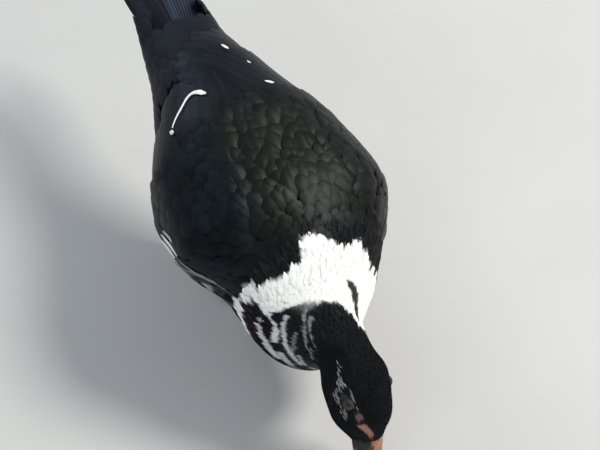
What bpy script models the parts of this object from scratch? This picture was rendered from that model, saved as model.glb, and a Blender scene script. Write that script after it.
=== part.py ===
"""Muscovy duck hen, life size, standing with its head lowered and the tip of its bill on the ground.

Frame: metres, +Z up, the bird faces -Y, its right side is -X. The working sizes below are in
centimetres in the bird's own plan, and one scale turns them into metres at the end.
"""

import math

import bmesh
import bpy
import numpy as np
from mathutils import Vector

for old in list(bpy.data.objects):
    bpy.data.objects.remove(old)

CM = 0.01
GAP = 0.03          # slit between neighbouring pieces, 0.3 mm
ORIGIN = (-0.104, -3.108)   # middle of the whole bird's footprint, in the plan

# ---------------------------------------------------------------- the body line
# From the end of the tail coverts to the root of the bill. Each station: how far back (y) and high (z)
# its centre is, half the plumage's width, the height above and the depth below the centre, and how far the
# centre is bent to the bird's left.
STATIONS = {
    "covert_end": (14.6, 20.75, 2.45, 0.50, 0.70, 0.20),
    "tail_base": (11.4, 19.5, 3.15, 1.50, 2.00, 0.24),
    "rump": (6.4, 18.2, 3.90, 3.30, 3.95, 0.0),
    "loin": (0.9, 17.2, 5.80, 4.95, 5.90, 0.0),
    "midback": (-4.9, 16.1, 8.25, 5.85, 7.20, -0.18),
    "shoulders": (-10.8, 15.2, 9.05, 5.90, 7.70, 0.0),
    "breast": (-15.0, 13.9, 7.03, 5.30, 8.25, 0.20),
    "crop": (-18.74, 12.5, 5.18, 4.20, 8.00, -0.62),
    "neck_root": (-21.67, 12.0, 2.56, 3.10, 4.70, -0.75),
    "neck": (-23.46, 11.3, 2.20, 2.40, 2.60, -0.48),
    "nape": (-25.0, 9.8, 2.78, 2.50, 2.75, -0.30),
    "cheeks": (-26.1, 7.6, 2.52, 2.55, 2.65, -0.30),
    "bill_root": (-27.0, 5.6, 1.45, 1.50, 1.40, -0.30),
}
NAMES = list(STATIONS)
SIZES = np.array([STATIONS[n] for n in NAMES], float)
AT = {n: float(i) for i, n in enumerate(NAMES)}
HEAD_ROLL = math.radians(18)      # and tilted about its own length, crown towards the bird's left
CROWN = 0.13                      # how much narrower the crown is than the cheeks


def natural_spline(values, x):
    """A natural cubic spline through values at 0, 1, 2, ..., read at x."""
    v = np.asarray(values, float)
    n = len(v)
    a, r = np.eye(n), np.zeros(n)
    for i in range(1, n - 1):
        a[i, i - 1 : i + 2] = (1, 4, 1)
        r[i] = 6 * (v[i + 1] - 2 * v[i] + v[i - 1])
    m = np.linalg.solve(a, r)
    i = np.clip(np.floor(x).astype(int), 0, n - 2)
    p, q = i + 1 - x, x - i
    return p * v[i] + q * v[i + 1] + ((p**3 - p) * m[i] + (q**3 - q) * m[i + 1]) / 6


def steady_spline(values, x):
    """A cubic through values at 0, 1, 2, ... that never overshoots them, read at x."""
    v = np.asarray(values, float)
    d = np.diff(v)
    m = np.zeros(len(v))
    m[0], m[-1] = d[0], d[-1]
    same = d[:-1] * d[1:] > 0
    m[1:-1][same] = 2 * d[:-1][same] * d[1:][same] / (d[:-1] + d[1:])[same]
    i = np.clip(np.floor(x).astype(int), 0, len(v) - 2)
    t = x - i
    return (
        (2 * t**3 - 3 * t**2 + 1) * v[i]
        + (t**3 - 2 * t**2 + t) * m[i]
        + (3 * t**2 - 2 * t**3) * v[i + 1]
        + (t**3 - t**2) * m[i + 1]
    )


def line_at(t):
    """Centre, direction towards the bill and direction of the back at t, with the three half sizes."""
    t = np.atleast_1d(np.asarray(t, float))

    def centre(s):
        return np.stack([steady_spline(SIZES[:, 5], s), natural_spline(SIZES[:, 0], s), natural_spline(SIZES[:, 1], s)], -1)

    c, e = centre(t), 1e-3
    ahead = centre(t + e) - centre(t - e)
    ahead[:, 0] = 0
    ahead /= np.linalg.norm(ahead, axis=1)[:, None]
    back = np.stack([np.zeros(len(t)), ahead[:, 2], -ahead[:, 1]], -1)
    return c, ahead, back, *(steady_spline(SIZES[:, k], t) for k in (2, 3, 4))


def body_point(t, angle, out=0.0):
    """A point of the plumage's outline: angle 0 is the back's midline, positive to the bird's left, in radians.
    out moves it off the surface, square to the section's edge."""
    t, angle, out = np.broadcast_arrays(np.asarray(t, float), np.asarray(angle, float), np.asarray(out, float))
    c, ahead, back, w, top, low = line_at(t.ravel())
    a, o = angle.ravel(), out.ravel()
    h = np.where(np.cos(a) > 0, top, low)
    x, y = w * np.sin(a), h * np.cos(a)
    nx, ny = np.sin(a) / w, np.cos(a) / h
    size = np.hypot(nx, ny)
    x, y = x + o * nx / size, y + o * ny / size
    k = t.ravel()
    x = x * (1 - CROWN * np.clip((k - 9.6) / 1.2, 0, 1) * np.clip(np.cos(a), 0, 1) ** 1.5)
    share = np.clip((k - 7.9) / 2.1, 0, 1)
    roll = HEAD_ROLL * share * share * (3 - 2 * share)
    p = c + back * (y * np.cos(roll) - x * np.sin(roll))[:, None]
    p[:, 0] += x * np.cos(roll) + y * np.sin(roll)
    return p.reshape(*t.shape, 3)


# ---------------------------------------------------------------- building meshes
def material(name, colour, roughness, metallic=0.0):
    m = bpy.data.materials.new(name)
    m.use_nodes = True
    shader = m.node_tree.nodes["Principled BSDF"]
    shader.inputs["Base Color"].default_value = (*colour, 1)
    shader.inputs["Roughness"].default_value = roughness
    shader.inputs["Metallic"].default_value = metallic
    m.diffuse_color = (*colour, 1)
    return m


BLACK_PLUMAGE = material("black_plumage", (0.012, 0.014, 0.018), 0.45)
WHITE_PLUMAGE = material("white_plumage", (0.80, 0.79, 0.76), 0.8)
BILL_HORN = material("bill_horn", (0.50, 0.22, 0.15), 0.4)
DARK_SKIN = material("dark_skin", (0.06, 0.055, 0.05), 0.55)
CLAW_HORN = material("claw_horn", (0.05, 0.045, 0.04), 0.35)
EYE = material("eye", (0.03, 0.02, 0.012), 0.1)


def as_object(name, bm, mat, helper=False):
    mesh = bpy.data.meshes.new(name)
    bmesh.ops.recalc_face_normals(bm, faces=bm.faces[:])
    bm.to_mesh(mesh)
    bm.free()
    obj = bpy.data.objects.new(name, mesh)
    bpy.context.scene.collection.objects.link(obj)
    if mat:
        mesh.materials.append(mat)
    if helper:
        obj.hide_render = True
        obj.display_type = "WIRE"
    else:
        mesh.shade_smooth()
        mesh.set_sharp_from_angle(angle=math.radians(40))
    return obj


def loft(rings):
    """A closed bmesh skin over rings of equal length, with flat ends."""
    bm = bmesh.new()
    rows = [[bm.verts.new(p) for p in ring] for ring in rings]
    n = len(rows[0])
    for a, b in zip(rows, rows[1:]):
        for j in range(n):
            bm.faces.new((a[j], a[(j + 1) % n], b[(j + 1) % n], b[j]))
    for end in (rows[0], rows[-1]):
        bmesh.ops.triangulate(bm, faces=[bm.faces.new(end)])
    return bm


def slab(upper, lower):
    """A closed bmesh between two grids of points of the same shape, the first over the second."""
    bm = bmesh.new()
    nu, nv = upper.shape[:2]
    grids = [[[bm.verts.new(g[i, j]) for j in range(nv)] for i in range(nu)] for g in (upper, lower)]
    for g in grids:
        for i in range(nu - 1):
            for j in range(nv - 1):
                bm.faces.new((g[i][j], g[i + 1][j], g[i + 1][j + 1], g[i][j + 1]))
    rim = (
        [(i, 0) for i in range(nu)]
        + [(nu - 1, j) for j in range(1, nv)]
        + [(i, nv - 1) for i in range(nu - 2, -1, -1)]
        + [(0, j) for j in range(nv - 2, 0, -1)]
    )
    up, low = grids
    for (i, j), (k, m) in zip(rim, rim[1:] + rim[:1]):
        bm.faces.new((up[i][j], up[k][m], low[k][m], low[i][j]))
    return bm


def tube(points, radii, sides=10, flat=1.0, up=(0, 0, 1)):
    """A closed bmesh round a line of points. flat squeezes it along the direction nearest up."""
    p = np.asarray(points, float)
    ahead = np.gradient(p, axis=0)
    ahead /= np.linalg.norm(ahead, axis=1)[:, None]
    rings = []
    for c, d, r in zip(p, ahead, radii):
        side = np.cross(d, up)
        side /= np.linalg.norm(side)
        over = np.cross(side, d)
        rings.append([c + r * (math.cos(a) * side + flat * math.sin(a) * over)
                      for a in np.linspace(0, 2 * math.pi, sides, endpoint=False)])
    return loft(rings)


def boolean(obj, other, operation):
    """Applies a Boolean to obj with another object."""
    m = obj.modifiers.new(operation.lower(), "BOOLEAN")
    m.operation, m.object, m.solver = operation, other, "EXACT"
    bpy.context.view_layer.update()
    done = bpy.data.meshes.new_from_object(obj.evaluated_get(bpy.context.evaluated_depsgraph_get()))
    obj.modifiers.remove(m)
    obj.data = done
    done.shade_smooth()
    done.set_sharp_from_angle(angle=math.radians(40))
    return obj


def drop(*objs):
    for o in objs:
        bpy.data.objects.remove(o)


def body_rings(t, sides, out=0.0):
    angles = np.linspace(0, 2 * math.pi, sides, endpoint=False)
    return body_point(np.asarray(t)[:, None], angles[None, :], out)


# ---------------------------------------------------------------- trunk, neck and head
TRUNK_END = 7.55     # where the neck is parted from the trunk, along the body line
HEAD_START = 10.0    # where the head is parted from the neck


def parted(t_from, t_to, count, sides, gap_from=0.0, gap_to=0.0):
    """Rings from one parting plane to the next, each end drawn in by its share of the slit."""
    rings = body_rings(np.linspace(t_from, t_to, count), sides)
    rings[0] += line_at(t_from)[1][0] * gap_from
    rings[-1] -= line_at(t_to)[1][0] * gap_to
    return rings


trunk = as_object("trunk", loft(parted(0.0, TRUNK_END, 23, 28, gap_to=GAP / 2)), BLACK_PLUMAGE)
neck = as_object("neck", loft(parted(TRUNK_END, HEAD_START, 10, 24, GAP / 2, GAP / 2)), WHITE_PLUMAGE)

# The head narrows to the root of the bill with a rounded front.
head_rings = parted(HEAD_START, AT["bill_root"], 10, 24, gap_from=GAP / 2)
c, ahead, back, w, top, low = line_at(AT["bill_root"])
for share, reach in ((0.72, 0.28), (0.38, 0.42)):
    middle = head_rings[9].mean(axis=0) + ahead[0] * reach
    head_rings = np.concatenate([head_rings, (middle + (head_rings[9] - head_rings[9].mean(axis=0)) * share)[None]])
head = as_object("head", loft(head_rings), BLACK_PLUMAGE)

# ---------------------------------------------------------------- eyes
EYE_RADIUS = 0.60
EYE_T, EYE_ANGLE = 10.30, math.radians(60)
EYE_SUNK = 0.45      # the eyeball's middle lies this deep under the plumage


def ball(name, centre, radius, mat, helper=False):
    bm = bmesh.new()
    bmesh.ops.create_uvsphere(bm, u_segments=14, v_segments=8, radius=radius)
    bmesh.ops.translate(bm, verts=bm.verts[:], vec=Vector(centre))
    return as_object(name, bm, mat, helper)


for side, sign in (("left", 1), ("right", -1)):
    middle = body_point(EYE_T, sign * EYE_ANGLE, -EYE_SUNK)
    ball(f"eye_{side}", middle, EYE_RADIUS, EYE)
    socket = ball("socket", middle, EYE_RADIUS + GAP, None, True)
    boolean(head, socket, "DIFFERENCE")
    drop(socket)

# ---------------------------------------------------------------- bill
BILL_LENGTH = 6.05
BILL_TURN = -0.10    # the bill points this much further to the bird's right than the head
bill_c, bill_ahead, bill_back = (v[0] for v in line_at(AT["bill_root"])[:3])
bill_side = np.array((1.0, 0.0, 0.0))
bill_ahead = bill_ahead + bill_side * BILL_TURN
bill_ahead /= np.linalg.norm(bill_ahead)
bill_side -= bill_ahead * (bill_side @ bill_ahead)
bill_side /= np.linalg.norm(bill_side)
bill_side, bill_back = (
    bill_side * math.cos(HEAD_ROLL) - bill_back * math.sin(HEAD_ROLL),
    bill_back * math.cos(HEAD_ROLL) + bill_side * math.sin(HEAD_ROLL),
)
# Along the bill, 0 at its root under the forehead and 1 at the tip: half width, height over the gape, depth under it.
BILL = np.array([
    (1.44, 1.32, 0.70),
    (1.46, 1.16, 0.64),
    (1.43, 0.90, 0.56),
    (1.37, 0.68, 0.46),
    (1.32, 0.55, 0.38),
    (1.27, 0.47, 0.32),
    (1.05, 0.40, 0.26),
    (0.55, 0.27, 0.16),
])


def bill_rings(upper, sides=14):
    k = np.linspace(0, len(BILL) - 1, 12)
    w, up, low = (steady_spline(BILL[:, i], k) for i in range(3))
    at = -0.5 + (BILL_LENGTH + 0.5) * k / k[-1]
    rings = []
    for a, ww, uu, ll in zip(at, w, up, low):
        middle = bill_c + bill_ahead * a - bill_back * 0.18
        f = np.linspace(0, math.pi, sides // 2 + 1)
        if upper:
            edge = [(ww * math.cos(s), uu * math.sin(s) ** 0.8 + GAP / 2) for s in f]
            edge += [(0.0, GAP / 2 + 0.02)]
        else:
            edge = [(ww * 0.93 * math.cos(s), -ll * math.sin(s) ** 0.8 - GAP / 2) for s in f]
            edge += [(0.0, -GAP / 2 - 0.02)]
        rings.append([middle + bill_side * x + bill_back * y for x, y in edge])
    return rings


for name, upper in (("bill_upper", True), ("bill_lower", False)):
    bill = as_object(name, loft(bill_rings(upper)), BILL_HORN)
    # The root is let into the plumage of the face, with a slit round it.
    face = as_object("face", loft([r.mean(axis=0) + (r - r.mean(axis=0)) * 1.034 for r in head_rings]), None, True)
    face_far = as_object("face_far", loft([r + ahead[0] * GAP for r in head_rings[4:]]), None, True)
    boolean(bill, face, "DIFFERENCE")
    boolean(bill, face_far, "DIFFERENCE")
    drop(face, face_far)

# ---------------------------------------------------------------- wings
# Each folded wing is a shell laid on the trunk, from the wrist by the breast to the tips over the rump.
# Stations of the shell: place on the body line, lower edge and upper edge in degrees from the back's midline.
WING = {
    "left": np.array([
        (6.30, 78, 60), (6.02, 92, 42), (5.4, 103, 26), (4.7, 105, 14), (3.9, 103, 5), (3.4, 99, -9),
        (3.1, 94, -22), (2.82, 87, -36), (2.5, 79, -39), (2.22, 70, -35), (2.02, 60, -8), (1.78, 44, 26),
    ], float),
    "right": np.array([
        (6.30, 78, 60), (6.02, 92, 42), (5.4, 103, 26), (4.7, 105, 14), (4.0, 103, 6), (3.5, 97, 3),
        (3.2, 88, 1), (3.0, 77, 0), (2.86, 64, 2), (2.74, 46, 8),
    ], float),
}
WING_THICK = 0.95
WING_SWELL = 0.42    # the right wing's lower edge stands out a little half way along


def wing_grids(side, inflate=0.0, lift=0.0, nu=18, nv=9):
    rows = WING[side]
    k = np.linspace(0, len(rows) - 1, nu)
    t, low, up = (steady_spline(rows[:, i], k) for i in range(3))
    grow = math.degrees(inflate / 7.0)
    s = np.linspace(0, 1, nv)[None, :]
    low, up = low[:, None] + grow * 1.6, up[:, None] - grow * 1.6
    angle = np.radians(low + (up - low) * s)
    if side == "right":
        angle = -angle
    tt = np.repeat(t[:, None], nv, 1)
    tt[0] += inflate / 4.5
    tt[-1] -= inflate / 4.5
    u = (k / k[-1])[:, None]
    belly = (np.sin(math.pi * np.clip(s, 0.02, 0.98)) ** 0.45) * np.clip(np.sin(math.pi * (0.06 + 0.86 * u)), 0, 1) ** 0.5
    over = 0.10 + 0.22 * belly
    if side == "left":
        over = over + 0.30 * np.clip((u - 0.62) / 0.2, 0, 1)
    else:
        over = over + WING_SWELL * np.exp(-(((tt - 4.4) / 0.35) ** 2) - ((np.degrees(angle) + 97) / 9) ** 2)
    under = -(0.12 + (WING_THICK - 0.3) * belly)
    if side == "left":
        under = under + (0.30 + 0.22 * belly) * np.clip((u - 0.62) / 0.2, 0, 1)
    return body_point(tt, angle, over + lift), body_point(tt, angle, under - inflate)


wings = {side: as_object(f"wing_{side}", slab(*wing_grids(side)), BLACK_PLUMAGE) for side in WING}
pocket = {side: as_object(f"pocket_{side}", slab(*wing_grids(side, inflate=4.2 * GAP, lift=1.0)), None, True) for side in WING}
boolean(wings["right"], pocket["left"], "DIFFERENCE")

# ---------------------------------------------------------------- tail
# Two closed halves of tail feathers, pitched like a low roof, with a split between them towards the end.
TAIL_LENGTH, TAIL_RISE, TAIL_PITCH = 15.5, math.radians(17), math.radians(20)
TAIL_ROOT = np.array((0.0, 8.2, 19.35))
TAIL_AHEAD = np.array((0.0, math.cos(TAIL_RISE), math.sin(TAIL_RISE)))
TAIL_OVER = np.array((0.0, -math.sin(TAIL_RISE), math.cos(TAIL_RISE)))


# Half spread of each side at six places from root to tip, and how far its inner edge is from the middle.
TAIL_HALF = {1: (3.20, 3.75, 4.05, 4.00, 4.00, 3.60), -1: (2.90, 3.20, 3.12, 2.80, 3.10, 2.95)}
TAIL_SPLIT = (0.06, 0.06, 0.08, 0.64, 0.50, 0.42)


def tail_grids(sign, inflate=0.0, nu=11, nv=6):
    u = np.linspace(0, 1, nu)[:, None]
    v = np.linspace(0, 1, nv)[None, :]
    half, split = steady_spline(TAIL_HALF[sign], 5 * u), steady_spline(TAIL_SPLIT, 5 * u)
    across = split - inflate + (half + 2 * inflate - split) * v
    reach = TAIL_LENGTH * (1 - 0.16 * np.clip(u - 0.5, 0, 1) * 2 * np.abs(2 * v - 0.7) ** 2.2)
    along = -inflate + (reach + 2 * inflate) * u
    thick = 0.52 - 0.34 * u
    sag = 0.10 * across**2 / 3
    p = (
        TAIL_ROOT
        + TAIL_AHEAD * along[..., None]
        + TAIL_OVER * (-across * math.sin(TAIL_PITCH) - sag - 0.012 * along**2 / 4)[..., None]
    )
    p[..., 0] += sign * across * math.cos(TAIL_PITCH)
    face = TAIL_OVER * math.cos(TAIL_PITCH) + np.array((sign * math.sin(TAIL_PITCH), 0, 0))
    lift = (thick / 2 + inflate + 0 * v)[..., None] * face
    sides = p + lift, p - lift
    for q in sides:
        q[..., 0] = sign * np.maximum(sign * q[..., 0], GAP / 2 - inflate)
    return sides


for side, sign in (("left", 1), ("right", -1)):
    as_object(f"tail_{side}", slab(*tail_grids(sign)), BLACK_PLUMAGE)
    slot = as_object("slot", slab(*tail_grids(sign, inflate=GAP)), None, True)
    boolean(trunk, slot, "DIFFERENCE")
    drop(slot)
for side in WING:
    boolean(trunk, pocket[side], "DIFFERENCE")
drop(*pocket.values())

# ---------------------------------------------------------------- legs
TOES = {"inner": (5.0, 27.0, 0.40), "middle": (6.4, 0.0, 0.44), "outer": (5.9, -26.0, 0.40)}
HOCK_BACK, HOCK_HIGH = 2.4, 5.9
FOOT = {"left": (3.7, -3.7, 3.0), "right": (-1.7, 1.1, 18.0)}   # where the ankle stands in the plan, and the turn of the toes inwards
WEB_THICK = 0.20


def floor_box():
    bm = bmesh.new()
    bmesh.ops.create_cube(bm, size=80)
    bmesh.ops.translate(bm, verts=bm.verts[:], vec=Vector((0, 0, -40)))
    return as_object("floor", bm, None, True)


floor = floor_box()
shell = as_object("shell", loft(body_rings(np.linspace(0, TRUNK_END, 23), 28, GAP * 1.3)), None, True)
for side, (fx, fy, turned) in FOOT.items():
    out = 1 if side == "left" else -1
    ankle = np.array((fx, fy, 0.78))
    hock = np.array((fx + 0.1 * out, fy + HOCK_BACK, HOCK_HIGH))
    hip = np.array((4.3 * out, fy * 0.35 - 3.4, 12.6))
    # Feathered thigh, from inside the flank to just over the hock.
    s = np.linspace(0, 1, 11)
    path = hip + (hock + np.array((0, 0, 0.75)) - hip) * s[:, None]
    path[:, 1] += 0.7 * np.sin(math.pi * s)
    thick = 2.55 * (1 - s) ** 0.8 + 0.72
    thigh = as_object(f"thigh_{side}", tube(path, thick, 14, up=(0, -1, 0)), BLACK_PLUMAGE)
    boolean(thigh, shell, "DIFFERENCE")
    # Scaled shank, let into the end of the thigh.
    top = path[-1] + (path[-1] - path[-2]) * 0.1
    s = np.linspace(0, 1, 9)
    line = top + (ankle + np.array((0, 0, 0.32)) - top) * s[:, None]
    wide = 0.50 + 0.16 * np.exp(-((s - 0.08) / 0.16) ** 2) + 0.05 * s**3
    shank = as_object(f"shank_{side}", tube(line, wide, 12, up=(0, -1, 0)), DARK_SKIN)
    sleeve_path = np.concatenate([path - (path[-1] - path[-2]) * 0, [path[-1] + (path[-1] - path[-2]) * GAP / 1.0]])
    sleeve = as_object("sleeve", tube(sleeve_path, np.append(thick, thick[-1]) + GAP * 1.3, 14, up=(0, -1, 0)), None, True)
    boolean(shank, sleeve, "DIFFERENCE")
    drop(sleeve)
    # Foot: three front toes joined by the web, a short hind toe, and the ankle's knob, flat underneath.
    bm = bmesh.new()
    bmesh.ops.create_uvsphere(bm, u_segments=12, v_segments=8, radius=0.62)
    for v in bm.verts:
        v.co = Vector((v.co.x * 0.95, v.co.y * 1.15, v.co.z * 0.78)) + Vector((fx, fy, 0.42))
    foot = as_object(f"foot_{side}", bm, DARK_SKIN)
    tips = []
    for toe, (length, turn, radius) in TOES.items():
        a = math.radians(turn + turned) * -out
        way = np.array((math.sin(a), -math.cos(a), 0.0))
        s = np.linspace(0, 1, 7)
        r = radius * (1 - 0.42 * s) * (1 + 0.10 * np.sin(s * 3 * math.pi) ** 2)
        line = np.array((fx, fy, 0.0)) + way * (length * s)[:, None]
        line[:, 2] = r * 0.78
        piece = as_object("toe", tube(line, r, 8), None, True)
        boolean(foot, piece, "UNION")
        drop(piece)
        tips.append((toe, line[-1], way, r[-1]))
    web = [np.array((fx, fy + 0.3, 0))]
    ends = {toe: (p, way) for toe, p, way, _ in tips}
    order = ["inner", "middle", "outer"]
    rim = []
    for first, second in zip(order, order[1:]):
        p, q = ends[first][0] - ends[first][1] * 0.25, ends[second][0] - ends[second][1] * 0.25
        for k in np.linspace(0, 1, 7):
            m = p + (q - p) * k
            heel = np.array((fx, fy, m[2]))
            rim.append(m + (heel - m) * 0.20 * math.sin(math.pi * k))
    rim = [p for i, p in enumerate(rim) if i != 7]
    ring = [np.array((fx, fy + 0.25, 0.0))] + rim
    low = [(p[0], p[1], -0.05) for p in ring]
    high = [(p[0], p[1], WEB_THICK + 0.04 * math.sin(i)) for i, p in enumerate(ring)]
    skin = as_object("web", loft([low, high]), None, True)
    boolean(foot, skin, "UNION")
    a = math.radians(158 + turned) * -out
    way = np.array((math.sin(a), -math.cos(a), 0.0))
    s = np.linspace(0, 1, 6)
    line = np.array((fx, fy, 0.0)) + way * (0.3 + 1.75 * s)[:, None]
    line[:, 2] = 0.42 - 0.20 * s
    r = 0.26 - 0.08 * s
    hind = as_object("toe", tube(line, r, 8), None, True)
    boolean(foot, hind, "UNION")
    tips.append(("hind", line[-1], way, r[-1]))
    drop(skin, hind)
    boolean(foot, floor, "DIFFERENCE")
    knob = bmesh.new()
    bmesh.ops.create_uvsphere(knob, u_segments=16, v_segments=10, radius=0.62 + GAP * 1.6)
    for v in knob.verts:
        v.co = Vector((v.co.x * 0.95, v.co.y * 1.15, v.co.z * 0.80)) + Vector((fx, fy, 0.42))
    knob = as_object("knob", knob, None, True)
    boolean(shank, knob, "DIFFERENCE")
    drop(knob)
    # Claws, one curved cone on each toe.
    for toe, p, way, r in tips:
        s = np.linspace(0, 1, 5)
        length = 0.50 if toe == "hind" else 0.72
        line = p + way * (GAP + length * s)[:, None]
        line[:, 2] = p[2] + 0.04 - (p[2] - 0.06) * s**1.6
        claw = as_object(f"claw_{side}_{toe}", tube(line, (r * 0.86) * (1 - 0.80 * s**1.3), 7), CLAW_HORN)
        boolean(claw, floor, "DIFFERENCE")
for name in ("bill_upper", "bill_lower"):
    boolean(bpy.data.objects[name], floor, "DIFFERENCE")
drop(floor, shell)

# ---------------------------------------------------------------- plan centimetres to metres about the origin
for obj in bpy.context.scene.objects:
    mesh = obj.data
    co = np.empty(len(mesh.vertices) * 3)
    mesh.vertices.foreach_get("co", co)
    co = co.reshape(-1, 3)
    co[:, 0] -= ORIGIN[0]
    co[:, 1] -= ORIGIN[1]
    mesh.vertices.foreach_set("co", (co * CM).ravel())
    mesh.update()
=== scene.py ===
"""Muscovy duck hen, life size: the looks. Black plumage with a green and blue gloss, a ragged white
collar, a barred side to the neck, a dark velvet head with bare lids, a dark and flesh coloured bill.

Working sizes are centimetres in the bird's own plan, as in the solids; place() turns them into metres.
"""

import math

import bmesh
import bpy
import numpy as np
from mathutils import Matrix, Vector


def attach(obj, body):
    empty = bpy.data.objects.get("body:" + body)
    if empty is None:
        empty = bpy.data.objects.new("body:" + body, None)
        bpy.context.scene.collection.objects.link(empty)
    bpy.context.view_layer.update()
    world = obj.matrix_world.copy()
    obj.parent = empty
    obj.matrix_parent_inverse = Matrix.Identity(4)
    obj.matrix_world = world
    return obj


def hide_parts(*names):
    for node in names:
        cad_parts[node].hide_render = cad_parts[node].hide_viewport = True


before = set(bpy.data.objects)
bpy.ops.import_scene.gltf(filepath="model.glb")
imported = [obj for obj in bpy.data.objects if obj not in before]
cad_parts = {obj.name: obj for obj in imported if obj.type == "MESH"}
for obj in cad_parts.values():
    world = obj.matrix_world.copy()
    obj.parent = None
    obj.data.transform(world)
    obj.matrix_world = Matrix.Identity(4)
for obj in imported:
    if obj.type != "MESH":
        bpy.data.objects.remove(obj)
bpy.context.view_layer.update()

DEG = math.pi / 180
rng = np.random.default_rng(20)

# ================================================================ camera
camera_data = bpy.data.cameras.new("view")
camera_data.lens = 123.6
camera_data.sensor_width = 36.0
camera_data.clip_start, camera_data.clip_end = 0.05, 60
camera = bpy.data.objects.new("view", camera_data)
bpy.context.scene.collection.objects.link(camera)
camera.location = (-0.49806, -1.11482, 1.3626)
camera.rotation_euler = (43.31 * DEG, 0.0, -26.49 * DEG)
bpy.context.scene.camera = camera

# ================================================================ the body line, as in the solids
CM = 0.01
ORIGIN = (-0.104, -3.108)
STATIONS = {
    "covert_end": (14.6, 20.75, 2.45, 0.50, 0.70, 0.20),
    "tail_base": (11.4, 19.5, 3.15, 1.50, 2.00, 0.24),
    "rump": (6.4, 18.2, 3.90, 3.30, 3.95, 0.0),
    "loin": (0.9, 17.2, 5.80, 4.95, 5.90, 0.0),
    "midback": (-4.9, 16.1, 8.25, 5.85, 7.20, -0.18),
    "shoulders": (-10.8, 15.2, 9.05, 5.90, 7.70, 0.0),
    "breast": (-15.0, 13.9, 7.03, 5.30, 8.25, 0.20),
    "crop": (-18.74, 12.5, 5.18, 4.20, 8.00, -0.62),
    "neck_root": (-21.67, 12.0, 2.56, 3.10, 4.70, -0.75),
    "neck": (-23.46, 11.3, 2.20, 2.40, 2.60, -0.48),
    "nape": (-25.0, 9.8, 2.78, 2.50, 2.75, -0.30),
    "cheeks": (-26.1, 7.6, 2.52, 2.55, 2.65, -0.30),
    "bill_root": (-27.0, 5.6, 1.45, 1.50, 1.40, -0.30),
}
NAMES = list(STATIONS)
SIZES = np.array([STATIONS[n] for n in NAMES], float)
AT = {n: float(i) for i, n in enumerate(NAMES)}
HEAD_ROLL = math.radians(18)
CROWN = 0.13
GAP = 0.03


def natural_spline(values, x):
    """A natural cubic spline through values at 0, 1, 2, ..., read at x."""
    v = np.asarray(values, float)
    n = len(v)
    a, r = np.eye(n), np.zeros(n)
    for i in range(1, n - 1):
        a[i, i - 1 : i + 2] = (1, 4, 1)
        r[i] = 6 * (v[i + 1] - 2 * v[i] + v[i - 1])
    m = np.linalg.solve(a, r)
    i = np.clip(np.floor(x).astype(int), 0, n - 2)
    p, q = i + 1 - x, x - i
    return p * v[i] + q * v[i + 1] + ((p**3 - p) * m[i] + (q**3 - q) * m[i + 1]) / 6


def steady_spline(values, x):
    """A cubic through values at 0, 1, 2, ... that never overshoots them, read at x."""
    v = np.asarray(values, float)
    d = np.diff(v)
    m = np.zeros(len(v))
    m[0], m[-1] = d[0], d[-1]
    same = d[:-1] * d[1:] > 0
    m[1:-1][same] = 2 * d[:-1][same] * d[1:][same] / (d[:-1] + d[1:])[same]
    i = np.clip(np.floor(x).astype(int), 0, len(v) - 2)
    t = x - i
    return (
        (2 * t**3 - 3 * t**2 + 1) * v[i]
        + (t**3 - 2 * t**2 + t) * m[i]
        + (3 * t**2 - 2 * t**3) * v[i + 1]
        + (t**3 - t**2) * m[i + 1]
    )


def line_at(t):
    """Centre, direction towards the bill and direction of the back at t, with the three half sizes."""
    t = np.atleast_1d(np.asarray(t, float))

    def centre(s):
        return np.stack([steady_spline(SIZES[:, 5], s), natural_spline(SIZES[:, 0], s), natural_spline(SIZES[:, 1], s)], -1)

    c, e = centre(t), 1e-3
    ahead = centre(t + e) - centre(t - e)
    ahead[:, 0] = 0
    ahead /= np.linalg.norm(ahead, axis=1)[:, None]
    back = np.stack([np.zeros(len(t)), ahead[:, 2], -ahead[:, 1]], -1)
    return c, ahead, back, *(steady_spline(SIZES[:, k], t) for k in (2, 3, 4))


def body_point(t, angle, out=0.0):
    """A point of the plumage's outline: angle 0 is the back's midline, positive to the bird's left, in radians.
    out moves it off the surface, square to the section's edge."""
    t, angle, out = np.broadcast_arrays(np.asarray(t, float), np.asarray(angle, float), np.asarray(out, float))
    c, ahead, back, w, top, low = line_at(t.ravel())
    a, o = angle.ravel(), out.ravel()
    h = np.where(np.cos(a) > 0, top, low)
    x, y = w * np.sin(a), h * np.cos(a)
    nx, ny = np.sin(a) / w, np.cos(a) / h
    size = np.hypot(nx, ny)
    x, y = x + o * nx / size, y + o * ny / size
    k = t.ravel()
    x = x * (1 - CROWN * np.clip((k - 9.6) / 1.2, 0, 1) * np.clip(np.cos(a), 0, 1) ** 1.5)
    share = np.clip((k - 7.9) / 2.1, 0, 1)
    roll = HEAD_ROLL * share * share * (3 - 2 * share)
    p = c + back * (y * np.cos(roll) - x * np.sin(roll))[:, None]
    p[:, 0] += x * np.cos(roll) + y * np.sin(roll)
    return p.reshape(*t.shape, 3)


def coat_point(t, angle, out=0.0):
    """body_point, carried on straight past the last tail coverts, and rounded over the face's front to the bill."""
    t = np.asarray(t, float)
    past = np.clip(0.02 - t, 0, None)
    p = body_point(np.clip(t, 0.02, 12.0), angle, out)
    tail_way = np.array((0.0, 0.93, 0.37))
    p = p + tail_way * (past * 3.4)[..., None]
    if t.max() > 12.0:
        centre, ahead = (v[0] for v in line_at(12.0)[:2])
        turn = np.clip(t - 12.0, 0, 0.6) / 0.6 * 0.5 * math.pi
        front = centre + (p - centre) * np.cos(turn)[..., None] + ahead * (0.46 * np.sin(turn))[..., None]
        p = np.where((t > 12.0)[..., None], front, p)
    return p


def place(p):
    """Plan centimetres to metres in the row's frame."""
    return (np.asarray(p, float) - np.array((ORIGIN[0], ORIGIN[1], 0.0))) * CM


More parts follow.
